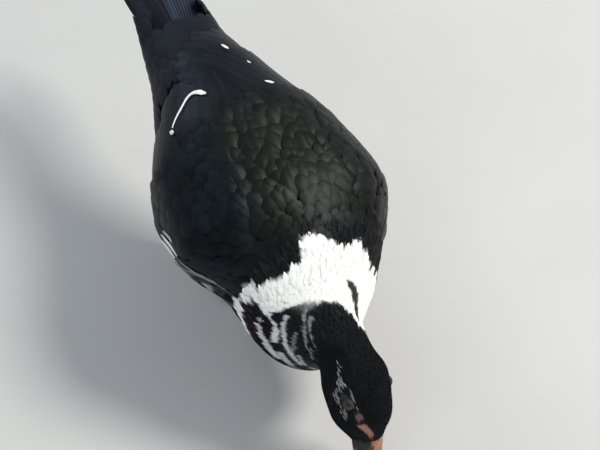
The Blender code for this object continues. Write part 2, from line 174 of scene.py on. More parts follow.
def smooth(x, a, b):
    s = np.clip((x - a) / (b - a), 0, 1)
    return s * s * (3 - 2 * s)


def unit(v):
    return v / np.maximum(np.linalg.norm(v, axis=-1, keepdims=True), 1e-12)


LATTICE = np.random.default_rng(7).random((64, 64))


def noise(x, y, seed=0):
    """Smooth value noise between -1 and 1, one wave per unit."""
    x, y = np.asarray(x, float) + 13.7 * seed, np.asarray(y, float) + 5.3 * seed
    i, j = np.floor(x).astype(int), np.floor(y).astype(int)
    u, v = x - i, y - j
    u, v = u * u * (3 - 2 * u), v * v * (3 - 2 * v)
    g = LATTICE
    a, b = g[i % 64, j % 64], g[(i + 1) % 64, j % 64]
    c, d = g[i % 64, (j + 1) % 64], g[(i + 1) % 64, (j + 1) % 64]
    return 2 * ((a * (1 - u) + b * u) * (1 - v) + (c * (1 - u) + d * u) * v) - 1


def srgb(r, g, b):
    c = np.array((r, g, b), float) / 255
    return np.where(c <= 0.04045, c / 12.92, ((c + 0.055) / 1.055) ** 2.4)


# ================================================================ the folded wings
WING = {
    "left": np.array([
        (6.30, 78, 60), (6.02, 92, 42), (5.4, 103, 26), (4.7, 105, 14), (3.9, 103, 5), (3.4, 99, -9),
        (3.1, 94, -22), (2.82, 87, -36), (2.5, 79, -39), (2.22, 70, -35), (2.02, 60, -8), (1.78, 44, 26),
    ], float),
    "right": np.array([
        (6.30, 78, 60), (6.02, 92, 42), (5.4, 103, 26), (4.7, 105, 14), (4.0, 103, 6), (3.5, 97, 3),
        (3.2, 88, 1), (3.0, 77, 0), (2.86, 64, 2), (2.74, 46, 8),
    ], float),
}
SIDE = {"left": 1.0, "right": -1.0}
WING_SWELL = 0.42


def wing_height(side, t, angle):
    """How far the folded wing stands over the trunk at a place, how deep inside its outline the place is,
    in degrees, and whether it is inside at all."""
    rows = WING[side]
    last = len(rows) - 1
    table = np.linspace(0, last, 500)
    k = np.interp(t, steady_spline(rows[:, 0], table)[::-1], table[::-1])
    low, up = steady_spline(rows[:, 1], k), steady_spline(rows[:, 2], k)
    a = SIDE[side] * np.asarray(angle) / DEG
    s = np.clip((low - a) / (low - up), 0, 1)
    u = k / last
    belly = (np.sin(math.pi * np.clip(s, 0.02, 0.98)) ** 0.45) * np.clip(np.sin(math.pi * (0.06 + 0.86 * u)), 0, 1) ** 0.5
    over = 0.10 + 0.22 * belly
    if side == "left":
        over = over + 0.30 * np.clip((u - 0.62) / 0.2, 0, 1)
    else:
        over = over + WING_SWELL * np.exp(-(((t - 4.4) / 0.35) ** 2) - ((a - 97) / 9) ** 2)
    inside = (a <= low) & (a >= up) & (t <= rows[0, 0]) & (t >= rows[-1, 0])
    return over, low - a, a - up, inside


def ramp(t, above, below):
    """Where the front of the wing sinks into the shoulders' feathers; behind them its edge stands clear."""
    front = smooth(np.asarray(t), 3.3, 4.0)
    return 1 - front * (1 - smooth(above, 0, 12))


def upper_height(t, angle):
    """The height of the plumage over the trunk's outline where small feathers cover the wings' front."""
    best = np.zeros(np.broadcast(t, angle).shape)
    for side in SIDE:
        over, below, above, inside = wing_height(side, t, angle)
        front = smooth(6.45 - np.asarray(t), 0.0, 0.35)
        best = np.maximum(best, np.where(inside, over * ramp(t, above, below) * smooth(below, -1, 2) * front, 0))
    return best


# ================================================================ markings, shared by the skin and the coat
BLACK = srgb(25, 27, 28)
WHITE = srgb(246, 245, 241)
# A lilac grey that stands for painted shade on the white.
SHADE_LILAC = srgb(176, 172, 186)
GREY = srgb(92, 92, 98)
PURPLE = srgb(30, 23, 28)

COLLAR = np.array([
    (-180, 7.2), (-150, 7.0), (-125, 6.62), (-107, 6.40), (-90, 6.22), (-77, 6.20), (-61, 6.12), (-52, 6.16), (-47, 6.37),
    (-31, 6.44), (-20, 6.35), (-12, 6.31), (-9, 6.00), (-1, 5.91), (5.5, 6.02), (11, 6.18), (17, 6.40), (22, 6.28),
    (32, 6.32), (41, 6.52), (50, 6.74), (66, 6.84), (80, 6.90), (95, 7.0), (112, 7.2), (125, 7.7), (140, 8.3), (180, 8.3),
])
NECK_EDGE = np.array([
    (-180, 8.2), (-150, 8.25), (-125, 8.55), (-101, 8.66), (-88, 8.45), (-75, 8.42), (-53, 8.12), (-48, 8.03), (-39, 7.85),
    (-30, 7.72), (-24, 7.62), (-14, 7.56), (-8.5, 7.65), (-2, 7.70), (4.5, 7.80), (11, 7.91), (18, 8.04), (22.5, 8.28),
    (40, 8.42), (60, 8.4), (92, 8.2), (180, 8.1),
])
# Pale bars on the right of the neck: degrees, then the place along the body, with half width and paleness.
BARS = (
    (((-117, -107, -97.5, -85, -75.5), (7.30, 7.21, 7.11, 6.98, 6.88)), 0.075, 0.85),
    (((-93, -78, -68.5, -62.6), (7.34, 7.31, 7.20, 7.00)), 0.062, 1.0),
    (((-125, -111, -98.5, -87.6, -71, -58), (7.76, 7.66, 7.56, 7.50, 7.43, 7.32)), 0.046, 0.85),
    (((-103, -91, -75), (7.68, 7.71, 7.69)), 0.030, 0.35),
    (((-93, -85, -71, -54, -40), (8.60, 8.13, 7.94, 7.75, 7.50)), 0.042, 0.42),
    (((-71, -66, -55, -42), (8.47, 8.20, 7.92, 7.72)), 0.040, 0.42),
    (((-98, -88, -80), (8.45, 8.32, 8.28)), 0.035, 0.35),
    (((-180, -130, -112), (7.5, 7.5, 7.42)), 0.07, 0.7),
    (((-180, -130, -112), (7.9, 7.9, 7.85)), 0.06, 0.6),
)


MARK_WIDTHS = (2.30, 2.95, 3.90, 5.80, 8.15, 8.95, 7.80, 5.50, 3.00, 2.20, 2.78, 2.52, 1.38)


def mark_angle(t, angle):
    """Degrees round an even section, in which the marks below are given, for a place on the body, which is bent a little."""
    t, angle = np.broadcast_arrays(np.asarray(t, float), np.asarray(angle, float))
    k = np.clip(t, 0, 12)
    x = steady_spline(SIZES[:, 5], k) + steady_spline(SIZES[:, 2], k) * np.sin(angle) + 0.3 * np.clip((k - 7) / 3, 0, 1)
    return np.degrees(np.arctan2(x / steady_spline(MARK_WIDTHS, k), np.cos(angle)))


def from_mark(t, degrees):
    """The angle on the body, in radians, of a place given as in the marks."""
    t, degrees = np.asarray(t, float), np.asarray(degrees, float)
    angle = degrees * DEG
    for _ in range(8):
        angle = angle + ((degrees - mark_angle(t, angle) + 180) % 360 - 180) * DEG
    return angle


def markings(t, angle, ragged=1.0):
    """How white the plumage is, how purple-brown, and how far painted shade greys its pale bars towards lilac, at a
    place on the body.
    """
    t = np.asarray(t, float)
    a = mark_angle(t, angle)
    wave = noise(t * 5, a * 0.12, 1) * 0.06 * ragged + noise(t * 11, a * 0.33, 2) * 0.045 * ragged
    fleck = noise(t * 15, a * 0.42, 14) * 0.6 + noise(t * 31, a * 0.9, 15) * 0.4
    rear = np.interp(a, COLLAR[:, 0], COLLAR[:, 1])
    fore = np.interp(a, NECK_EDGE[:, 0], NECK_EDGE[:, 1])
    white = smooth(t + wave, rear - 0.02, rear + 0.02) * (1 - smooth(t + wave * 0.8, fore - 0.05, fore + 0.06))
    # The barred part is dark, with pale bars broken into flecks.
    top = np.interp(t, (6.6, 6.8, 6.95, 7.05, 7.15, 7.25, 7.35, 7.5, 7.7, 8.0), (-90, -72, -64, -58, -48, -38, -26, -13, -6, -4))
    zone = smooth(top - a + fleck * 5, -2, 4) * smooth(t + 0.2 * wave, 6.74, 6.84)
    bend = t + noise(t * 2.3, a * 0.09, 4) * 0.03
    pale = np.zeros(t.shape)
    for (at, place_), half, strength in BARS:
        near = (a >= min(at) - 4) & (a <= max(at) + 4)
        bar = 1 - smooth(np.abs(bend - np.interp(a, at, place_)), half * 0.5, half * 1.5)
        pale = np.maximum(pale, np.where(near, strength * smooth(bar + 0.30 * fleck, 0.25, 0.80), 0))
    upper = smooth(a, -48, -20) * (0.45 + 0.5 * smooth(noise(t * 9, a * 0.16, 21), -0.2, 0.5))
    pale = np.maximum(pale, upper * (1 - smooth(t, 7.45, 7.6)))
    white = white * (1 - zone) + white * zone * pale
    # Painted shade: the barred part's pale bars are greyed towards lilac.
    grey = zone * 0.35
    # The dark purple-brown patch over the breast's right.
    left = np.interp(a, (-125, -117, -104, -100, -82, -64), (6.88, 6.82, 6.72, 6.56, 6.48, 6.58))
    right = np.interp(a, (-125, -101, -85, -77, -70, -63), (6.98, 6.94, 6.93, 6.92, 6.95, 6.75))
    patch = smooth(t + wave, left - 0.03, left + 0.03) * (1 - smooth(t + wave, right - 0.02, right + 0.05))
    patch = patch * smooth(-a + 50 * wave, 58, 65)
    white = white * (1 - patch)
    under = smooth(-a, 120, 140)
    white = white * (1 - under * smooth(noise(t * 3, a * 0.08, 6), -0.5, 0.1))
    # The dark oval on the left of the neck.
    middle = np.interp(t, (7.15, 7.3, 7.5, 7.7, 7.9, 8.1), (17, 23, 29, 34, 36, 33))
    half = np.interp(t, (7.10, 7.2, 7.35, 7.55, 7.8, 8.0, 8.2), (0.01, 4.5, 7, 7.5, 7.5, 6, 0.01))
    oval = (1 - smooth(np.abs(a - middle) / half + 0.35 * fleck, 0.70, 1.15)) * ((t > 7.1) & (t < 8.2))
    white = white * (1 - oval * 0.97)
    # Scattered white on the right flank, under the wing's edge.
    flank = smooth(-a, 96, 104) * (1 - smooth(-a, 128, 150)) * smooth(t, 4.3, 4.6) * (1 - smooth(t, 5.9, 6.3))
    white = np.maximum(white, flank * smooth(noise(t * 4.3, a * 0.1, 8), 0.15, 0.4) * 0.45)
    return white, patch, grey


def gloss(t, angle):
    """The tint of the black plumage: olive green on the mantle, teal to its right, blue behind, with painted shade
    making the bird's right side darker and bluer and painted sheen making its left side brownish.
    """
    a = mark_angle(t, angle)
    t = np.broadcast_to(np.asarray(t, float), a.shape)
    olive, teal, blue, painted_shade_tint, brown = (np.array(c) for c in (
        (1.08, 1.12, 0.90), (0.50, 0.85, 0.92), (0.86, 0.98, 1.42), (0.62, 0.74, 1.0), (1.18, 1.08, 0.98)))
    w_blue = 1 - smooth(t, 3.0, 3.9)
    w_teal = smooth(t, 3.1, 3.7) * (1 - smooth(t, 5.2, 5.8)) * smooth(-a, 14, 30) * (1 - smooth(-a, 48, 62))
    # Painted shade: a darker, bluer tint down the bird's right side.
    w_painted_shade = smooth(-a, 42, 60) * smooth(t, 3.0, 3.6)
    # Painted sheen: a brighter, brownish tint up the bird's left side.
    w_painted_sheen = smooth(a, 30, 52) * smooth(t, 3.6, 4.6)
    w_front = smooth(t, 5.5, 6.2)
    c = np.ones(t.shape)[..., None] * olive
    for w, tint in ((w_front, np.array((0.80, 0.82, 0.86))), (w_painted_sheen, brown), (w_painted_shade, painted_shade_tint), (w_teal, teal), (w_blue, blue)):
        c = c * (1 - w[..., None]) + tint * w[..., None]
    head = smooth(t, 7.5, 8.0)[..., None]
    c = c * (1 - head) + np.array((0.55, 0.55, 0.66)) * head
    patchy = 1 + 0.22 * noise(t * 3.1, a * 0.09, 11) + 0.15 * noise(t * 7, a * 0.21, 12)
    return c * patchy[..., None]


def plumage_colour(t, angle, each=0.0, ragged=1.0):
    """Linear RGB and whiteness at a place. each is a number between -1 and 1 for the feather."""
    white, patch, grey = markings(t, angle, ragged)
    dark = BLACK * gloss(t, angle) * (1 + 0.25 * np.asarray(each))[..., None]
    dark = dark * (1 - patch[..., None]) + PURPLE * patch[..., None]
    # Where grey is set, the pale colour is mixed towards lilac as painted shade.
    pale = WHITE * (1 + 0.04 * np.asarray(each))[..., None] * (1 - grey[..., None]) + SHADE_LILAC * grey[..., None]
    return dark * (1 - white[..., None]) + pale * white[..., None], white


# ================================================================ materials
def new_material(name):
    m = bpy.data.materials.new(name)
    m.use_nodes = True
    nt = m.node_tree
    shader = next(n for n in nt.nodes if n.type == "BSDF_PRINCIPLED")
    return m, nt, shader


def node(nt, kind, **settings):
    n = nt.nodes.new(kind)
    for k, v in settings.items():
        if k in n.inputs:
            n.inputs[k].default_value = v
        else:
            setattr(n, k, v)
    return n


def maths(nt, operation, a, b=None, clamp=False):
    n = nt.nodes.new("ShaderNodeMath")
    n.operation, n.use_clamp = operation, clamp
    for i, v in enumerate((a, b)):
        if v is None:
            continue
        if isinstance(v, (int, float)):
            n.inputs[i].default_value = v
        else:
            nt.links.new(v, n.inputs[i])
    return n.outputs[0]


def mix(nt, factor, a, b, blend="MIX"):
    n = nt.nodes.new("ShaderNodeMix")
    n.data_type, n.blend_type = "RGBA", blend
    for socket, v in ((n.inputs["Factor"], factor), (n.inputs[6], a), (n.inputs[7], b)):
        if isinstance(v, bpy.types.NodeSocket):
            nt.links.new(v, socket)
        elif isinstance(v, (int, float)):
            socket.default_value = v
        else:
            socket.default_value = (*v, 1)
    return n.outputs[2]


def feather_material(name, roughness=0.42, metallic=0.0, sheen=0.0, sheen_tint=(1, 1, 1), rough_white=0.85, barbs=26.0,
                     specular=0.5, bump=0.25, grain=0.22):
    """Colour from the feather's own markings. fx holds the place along and across the vane and its whiteness,
    which set the barbs' slanting lines and the roughness."""
    m, nt, shader = new_material(name)
    colour = node(nt, "ShaderNodeAttribute", attribute_name="Col")
    fx = node(nt, "ShaderNodeAttribute", attribute_name="fx")
    split = nt.nodes.new("ShaderNodeSeparateXYZ")
    nt.links.new(fx.outputs["Vector"], split.inputs[0])
    along, across, white = split.outputs
    away = maths(nt, "ABSOLUTE", across)
    slant = maths(nt, "SUBTRACT", maths(nt, "MULTIPLY", along, barbs), maths(nt, "MULTIPLY", away, barbs * 0.30))
    wiggle = node(nt, "ShaderNodeTexNoise", Scale=90.0, Detail=2.0)
    geo = node(nt, "ShaderNodeTexCoord")
    nt.links.new(geo.outputs["Object"], wiggle.inputs["Vector"])
    lines = maths(nt, "SINE", maths(nt, "MULTIPLY", maths(nt, "ADD", slant, maths(nt, "MULTIPLY", wiggle.outputs[0], 1.4)), 6.283))
    speck = node(nt, "ShaderNodeTexNoise", Scale=700.0, Detail=3.0)
    nt.links.new(geo.outputs["Object"], speck.inputs["Vector"])
    shade = maths(nt, "ADD", maths(nt, "MULTIPLY", lines, grain * 0.5), maths(nt, "MULTIPLY", speck.outputs[0], grain * 1.2))
    shade = maths(nt, "ADD", shade, 1.0 - grain * 0.8)
    grey = nt.nodes.new("ShaderNodeCombineColor")
    for i in range(3):
        nt.links.new(shade, grey.inputs[i])
    base = mix(nt, 1.0, colour.outputs["Color"], grey.outputs[0], "MULTIPLY")
    nt.links.new(base, shader.inputs["Base Color"])
    rough = maths(nt, "ADD", maths(nt, "MULTIPLY", white, rough_white - roughness), roughness)
    rough = maths(nt, "ADD", rough, maths(nt, "MULTIPLY", maths(nt, "SUBTRACT", speck.outputs[0], 0.5), 0.25))
    nt.links.new(rough, shader.inputs["Roughness"])
    bumps = node(nt, "ShaderNodeBump", Strength=bump, Distance=0.0006)
    nt.links.new(maths(nt, "ADD", lines, maths(nt, "MULTIPLY", speck.outputs[0], 0.8)), bumps.inputs["Height"])
    nt.links.new(bumps.outputs[0], shader.inputs["Normal"])
    shader.inputs["Metallic"].default_value = metallic
    shader.inputs["Specular IOR Level"].default_value = specular
    shader.inputs["Sheen Weight"].default_value = sheen
    shader.inputs["Sheen Roughness"].default_value = 0.4
    shader.inputs["Sheen Tint"].default_value = (*sheen_tint, 1)
    return m


def skin_material(name, roughness, scale, bump, specular=0.5, coat=0.0, blotch=0.25, cells=True):
    """Vertex markings broken up by a fine skin grain, with cell-shaped wrinkles raised by bump."""
    m, nt, shader = new_material(name)
    colour = node(nt, "ShaderNodeAttribute", attribute_name="Col")
    geo = node(nt, "ShaderNodeTexCoord")
    fine = node(nt, "ShaderNodeTexNoise", Scale=scale * 2.2, Detail=4.0, Roughness=0.6)
    nt.links.new(geo.outputs["Object"], fine.inputs["Vector"])
    pores = node(nt, "ShaderNodeTexVoronoi", Scale=scale)
    pores.feature = "DISTANCE_TO_EDGE" if cells else "F1"
    nt.links.new(geo.outputs["Object"], pores.inputs["Vector"])
    shade = maths(nt, "ADD", maths(nt, "MULTIPLY", fine.outputs[0], blotch * 2), 1.0 - blotch)
    edge = maths(nt, "MULTIPLY", pores.outputs["Distance"], 6.0 if cells else 1.0, clamp=True)
    shade = maths(nt, "MULTIPLY", shade, maths(nt, "ADD", maths(nt, "MULTIPLY", edge, 0.3), 0.75))
    grey = nt.nodes.new("ShaderNodeCombineColor")
    for i in range(3):
        nt.links.new(shade, grey.inputs[i])
    nt.links.new(mix(nt, 1.0, colour.outputs["Color"], grey.outputs[0], "MULTIPLY"), shader.inputs["Base Color"])
    rough = maths(nt, "ADD", maths(nt, "MULTIPLY", fine.outputs[0], 0.25), roughness - 0.12)
    nt.links.new(rough, shader.inputs["Roughness"])
    bumps = node(nt, "ShaderNodeBump", Strength=bump, Distance=0.0008)
    nt.links.new(maths(nt, "ADD", edge, maths(nt, "MULTIPLY", fine.outputs[0], 0.5)), bumps.inputs["Height"])
    nt.links.new(bumps.outputs[0], shader.inputs["Normal"])
    shader.inputs["Specular IOR Level"].default_value = specular
    shader.inputs["Coat Weight"].default_value = coat
    shader.inputs["Coat Roughness"].default_value = 0.15
    return m


M_BACK = feather_material("mantle_vanes", roughness=0.42, metallic=0.60, specular=0.18, barbs=44.0, grain=0.14, bump=0.12)
M_LONG = feather_material("flight_vanes", roughness=0.40, metallic=0.60, specular=0.18, barbs=110.0, grain=0.12, bump=0.10)
M_SOFT = feather_material("soft_vanes", roughness=0.55, metallic=0.20, specular=0.12, barbs=44.0, grain=0.16, bump=0.15)
M_PALE = feather_material("collar_vanes", roughness=0.55, specular=0.12, grain=0.08, barbs=18.0, bump=0.10)
M_VELVET = feather_material("velvet_tufts", roughness=0.60, sheen=0.06, sheen_tint=(0.7, 0.75, 0.95), specular=0.12, barbs=5.0)
M_SKIN = skin_material("skin", roughness=0.6, scale=900.0, bump=0.5, specular=0.4)
M_BILL = skin_material("bill_surface", roughness=0.42, scale=260.0, bump=0.16, specular=0.35, coat=0.05, blotch=0.16, cells=False)
M_CLAW = skin_material("claw_surface", roughness=0.35, scale=420.0, bump=0.12, specular=0.5, coat=0.2, blotch=0.3, cells=False)


# ================================================================ meshes
def make(name, verts, faces, material, colour=None, fx=None, uv=None, sharp=50, slot=None, replaces=()):
    """One object from arrays: verts in plan centimetres, faces a list of index arrays, one for each face size,
    colour and fx for each vertex, uv for each vertex."""
    mesh = bpy.data.meshes.new(name)
    v = place(verts).astype(np.float32)
    mesh.vertices.add(len(v))
    mesh.vertices.foreach_set("co", v.ravel())
    faces = [np.asarray(f, np.int32) for f in faces if len(f)]
    loops = np.concatenate([f.ravel() for f in faces])
    sizes = np.concatenate([np.full(len(f), f.shape[1], np.int32) for f in faces])
    mesh.loops.add(len(loops))
    mesh.loops.foreach_set("vertex_index", loops)
    mesh.polygons.add(len(sizes))
    mesh.polygons.foreach_set("loop_start", np.concatenate([[0], np.cumsum(sizes)[:-1]]).astype(np.int32))
    mesh.update(calc_edges=True)
    if colour is not None:
        layer = mesh.color_attributes.new("Col", "FLOAT_COLOR", "POINT")
        rgba = np.ones((len(v), 4), np.float32)
        rgba[:, :3] = np.clip(colour, 0, 1)
        layer.data.foreach_set("color", rgba.ravel())
    if fx is not None:
        mesh.attributes.new("fx", "FLOAT_VECTOR", "POINT").data.foreach_set("vector", np.asarray(fx, np.float32).ravel())
    if uv is not None:
        layer = mesh.uv_layers.new(name="OFBake")
        layer.data.foreach_set("uv", np.asarray(uv, np.float32)[loops].ravel())
    mesh.materials.append(material)
    mesh.shade_smooth()
    mesh.set_sharp_from_angle(angle=sharp * DEG)
    obj = bpy.data.objects.new(name, mesh)
    bpy.context.scene.collection.objects.link(obj)
    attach(obj, "root")
    if replaces:
        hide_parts(*replaces)
    return obj


def grid_faces(nu, nv, closed=False, start=0, flip=False):
    """Quads over a grid of nu rows of nv points, each row closed on itself or not."""
    i = np.arange(nu - 1)[:, None]
    j = np.arange(nv if closed else nv - 1)[None, :]
    k = (j + 1) % nv
    q = np.stack([i * nv + j, (i + 1) * nv + j, (i + 1) * nv + k, i * nv + k], -1).reshape(-1, 4) + start
    return q[:, ::-1] if flip else q


def loft_arrays(rings, start=0, flip=False):
    """Vertices and faces of a closed tube through rings of equal length, its ends shut by fans."""
    rings = np.asarray(rings, float)
    nu, nv = rings.shape[:2]
    verts = np.concatenate([rings.reshape(-1, 3), [rings[0].mean(0), rings[-1].mean(0)]])
    quads = grid_faces(nu, nv, True, 0, flip)
    j = np.arange(nv)
    k = (j + 1) % nv
    first = np.stack([np.full(nv, nu * nv), j, k], -1)
    last = np.stack([np.full(nv, nu * nv + 1), (nu - 1) * nv + k, (nu - 1) * nv + j], -1)
    tris = np.concatenate([first, last])
    if flip:
        tris = tris[:, ::-1]
    return verts, [tris + start, quads + start]


def tube_rings(points, radii, sides=16, flat=1.0, up=(0, 0, 1), shape=None):
    p = np.asarray(points, float)
    ahead = unit(np.gradient(p, axis=0))
    side = unit(np.cross(ahead, up))
    over = np.cross(side, ahead)
    a = np.linspace(0, 2 * math.pi, sides, endpoint=False)
    r = np.asarray(radii, float)
    r = r[:, None] * np.ones(sides) if r.ndim == 1 else r
    if shape is not None:
        r = r * shape
    return p[:, None] + r[..., None] * (np.cos(a)[None, :, None] * side[:, None] + flat * np.sin(a)[None, :, None] * over[:, None])


class Build:
    """Collects shells that become one object."""

    def __init__(self):
        self.verts, self.faces, self.colour, self.fx, self.uv, self.count = [], [], [], [], [], 0

    def add(self, verts, faces, colour, fx=None, uv=None):
        n = len(verts)
        self.verts.append(verts)
        self.faces += [np.asarray(f) + self.count for f in faces]
        self.colour.append(np.broadcast_to(colour, (n, 3)))
        self.fx.append(np.zeros((n, 3)) if fx is None else fx)
        self.uv.append(np.zeros((n, 2)) if uv is None else uv)
        self.count += n

    def triangles(self):
        return sum(len(f) * (f.shape[1] - 2) for f in self.faces)

    def make(self, name, material, uv=False, **more):
        obj = make(name, np.concatenate(self.verts), self.faces, material, np.concatenate(self.colour),
                   np.concatenate(self.fx), np.concatenate(self.uv) if uv else None, **more)
        print(f"{name}: {self.triangles()} triangles")
        return obj


# ---------------------------------------------------------------- feathers
def template(nu, nv, root=0.42, wide=0.55, tip=0.82, round_=0.24, ragged=0.0, thick=0.035, seed=0):
    """One vane: a lens of two faces that share their rim. x runs 0 to 1 along it, y -1 to 1 across."""
    x = np.linspace(0, 1, nu)[:, None] * np.ones(nv)
    y = np.linspace(-1, 1, nv)[None, :] * np.ones((nu, 1))
    rise = np.sin(0.5 * math.pi * np.clip(x / wide, 0, 1)) ** 0.9
    late = np.clip((x - wide) / (1 - wide), 0, 1)
    half = root + (1 - root) * rise - (1 - tip) * late**2
    along = x * (1 - round_ * y**2 * x**2)
    if ragged:
        r = np.random.default_rng(seed)
        teeth = np.where(np.arange(nv) % 2 == 0, 1.0, -1.0) * (0.6 + 0.4 * r.random(nv))
        teeth[[0, -1]] = -0.5
        along = along + ragged * teeth * np.clip((x - 0.6) / 0.4, 0, 1) ** 2
    across = y * half
    inner = (slice(1, -1), slice(1, -1))
    n_top = nu * nv
    body = (1 - y**2) * np.clip(np.sin(math.pi * np.clip(x, 0.02, 0.98)), 0, 1) ** 0.5
    flat = lambda g: np.concatenate([g.ravel(), g[inner].ravel()])
    sink = np.concatenate([np.zeros(n_top), (thick * (0.35 + 0.65 * body))[inner].ravel()])
    low = np.arange(n_top).reshape(nu, nv).copy()
    low[inner] = n_top + np.arange((nu - 2) * (nv - 2)).reshape(nu - 2, nv - 2)
    top_faces = grid_faces(nu, nv)
    low_faces = np.stack([low[:-1, :-1], low[:-1, 1:], low[1:, 1:], low[1:, :-1]], -1).reshape(-1, 4)
    return {
        "x": flat(x), "y": flat(y), "along": flat(along), "across": flat(across), "sink": sink,
        "ux": flat(x), "uy": flat(y), "faces": [np.concatenate([top_faces, low_faces])],
    }


def plume(base, blades, seed, reach=0.22, thin=0.07, rise=0.022):
    """A vane whose end is loose: slender closed barbs fan out over it and past its tip."""
    r = np.random.default_rng(seed)
    parts = {k: [base[k]] for k in ("x", "y", "along", "across", "sink", "ux", "uy")}
    faces, tris, count = [base["faces"][0]], [], len(base["x"])
    for y_end in np.linspace(-1, 1, blades):
        y_end = y_end + r.uniform(-0.08, 0.08)
        x0, y0 = 0.22 + r.uniform(0, 0.2), y_end * 0.30
        x1 = 1.0 + reach * (r.uniform(0.2, 1.0) - 0.75 * y_end**2)
        bow = r.uniform(-0.10, 0.10)
        for k, s in enumerate((0.0, 0.4, 0.75, 1.0)):
            x, y = x0 + (x1 - x0) * s, y0 + (y_end * 0.86 - y0) * s**0.8 + bow * s * (1 - s) * 2
            half = thin * (0.7, 1.0, 0.75, 0.12)[k]
            for dy, up in ((-half, 0.010), (half, 0.010), (0.0, -rise * (0.6, 1.0, 0.9, 0.2)[k])):
                parts["x"].append([x]), parts["y"].append([np.clip(y, -1, 1)])
                parts["along"].append([x]), parts["across"].append([y + dy]), parts["sink"].append([up])
                parts["ux"].append([0.2 + 0.5 * np.clip(x, 0, 1.2)]), parts["uy"].append([0.6 * np.clip(y + dy * 2, -1, 1)])
        ring = np.arange(3)
        for k in range(3):
            a, b = count + 3 * k + ring, count + 3 * k + (ring + 1) % 3
            faces.append(np.stack([a, b, b + 3, a + 3], -1)[:, ::-1])
        tris += [[count, count + 1, count + 2], [count + 11, count + 10, count + 9]]
        count += 12
    out = {k: np.concatenate([np.asarray(p, float) for p in v]) for k, v in parts.items()}
    out["faces"] = [np.concatenate(faces), np.array(tris)[:, ::-1]]
    return out


class Surface:
    """A surface of two parameters. Feathers lie along the first, forwards or backwards by lie."""

    def __init__(self, point, lie, turn, step=1e-3):
        self.point, self.lie, self.turn, self.step = point, lie, turn, step

    def frame(self, p, q):
        h = self.step
        pp = (self.point(p + h, q, 0.0) - self.point(p - h, q, 0.0)) / (2 * h)
        pq = (self.point(p, q + h, 0.0) - self.point(p, q - h, 0.0)) / (2 * h)
        n = unit(np.cross(pp, pq)) * self.turn
        e1 = unit(pp) * self.lie
        return pp, pq, e1, np.cross(n, e1)


def lay(surface, tp, p, q, length, width, heading=0.0, root=-0.3, tip=0.05, camber=0.1, shaft=0.012, height=None, curl=0.0):
    """Short feathers on a surface, one for each p, q. Gives (N, M, 3) points and each point's own p and q."""
    n = len(p)
    full = lambda v: np.broadcast_to(np.asarray(v, float), (n,))[:, None]
    length, width, heading, root, tip, camber, curl = (full(v) for v in (length, width, heading, root, tip, camber, curl))
    pp, pq, e1, e2 = surface.frame(p, q)
    x, y = length * tp["along"], 0.5 * width * tp["across"]
    x, y = x, y + curl * length * tp["x"] ** 2
    c, s = np.cos(heading), np.sin(heading)
    d = (x * c - y * s)[..., None] * e1[:, None] + (x * s + y * c)[..., None] * e2[:, None]
    g11, g12, g22 = (pp * pp).sum(-1), (pp * pq).sum(-1), (pq * pq).sum(-1)
    dot1, dot2 = (d * pp[:, None]).sum(-1), (d * pq[:, None]).sum(-1)
    det = (g11 * g22 - g12**2)[:, None]
    vp = p[:, None] + (dot1 * g22[:, None] - dot2 * g12[:, None]) / det
    vq = q[:, None] + (dot2 * g11[:, None] - dot1 * g12[:, None]) / det
    tx, ty = tp["x"][None, :], tp["y"][None, :]
    out = root + (tip - root) * (1 - (1 - tx) ** 1.6) + camber * (1 - ty**2) * np.sin(math.pi * np.clip(0.12 + 0.80 * tx, 0, 1))
    out = out + shaft * np.exp(-((ty / 0.12) ** 2)) * (1 - 0.5 * tx) - tp["sink"][None, :]
    if height is not None:
        out = out + height(vp, vq)
    return surface.point(vp, vq, out), vp, vq


def lay_long(surface, tp, path_p, path_q, width, out, camber=0.06, shaft=0.02, thick=1.0):
    """Long feathers that follow a path given by three p and three q each (root, middle, tip)."""
    n = len(width)
    x = tp["along"][None, :] * np.ones((n, 1))
    w = [(1 - x) * (1 - 2 * x), 4 * x * (1 - x), x * (2 * x - 1)]
    cp = sum(w[i] * path_p[:, i : i + 1] for i in range(3))
    cq = sum(w[i] * path_q[:, i : i + 1] for i in range(3))
    h = 1e-3
    at = surface.point(cp, cq, 0.0)
    pp = (surface.point(cp + h, cq, 0.0) - at) / h
    pq = (surface.point(cp, cq + h, 0.0) - at) / h
    dw = [4 * x - 3, 4 - 8 * x, 4 * x - 1]
    dp = sum(dw[i] * path_p[:, i : i + 1] for i in range(3))
    dq = sum(dw[i] * path_q[:, i : i + 1] for i in range(3))
    way = unit(pp * dp[..., None] + pq * dq[..., None])
    n_out = unit(np.cross(pp, pq)) * surface.turn
    side = np.cross(n_out, way)
    y = 0.5 * np.asarray(width)[:, None] * tp["across"][None, :]
    d = side * y[..., None]
    g11, g12, g22 = (pp * pp).sum(-1), (pp * pq).sum(-1), (pq * pq).sum(-1)
    dot1, dot2 = (d * pp).sum(-1), (d * pq).sum(-1)
    det = g11 * g22 - g12**2
    vp, vq = cp + (dot1 * g22 - dot2 * g12) / det, cq + (dot2 * g11 - dot1 * g12) / det
    tx, ty = tp["x"][None, :], tp["y"][None, :]
    rise = np.asarray(out[0])[:, None] + (np.asarray(out[1]) - np.asarray(out[0]))[:, None] * tx
    rise = rise + camber * (1 - ty**2) + shaft * np.exp(-((ty / 0.07) ** 2)) * (1 - 0.6 * tx) - tp["sink"][None, :] * thick
    return surface.point(vp, vq, rise), vp, vq


def feather_uv(u, v, tp, size=0.003):
    """Each vane is a small patch at its root's place on the unwrap."""
    m = np.stack([tp["ux"] - 0.5, tp["uy"] * 0.5], -1) * size
    return (np.stack([u, v], -1)[:, None] + m[None]).reshape(-1, 2)


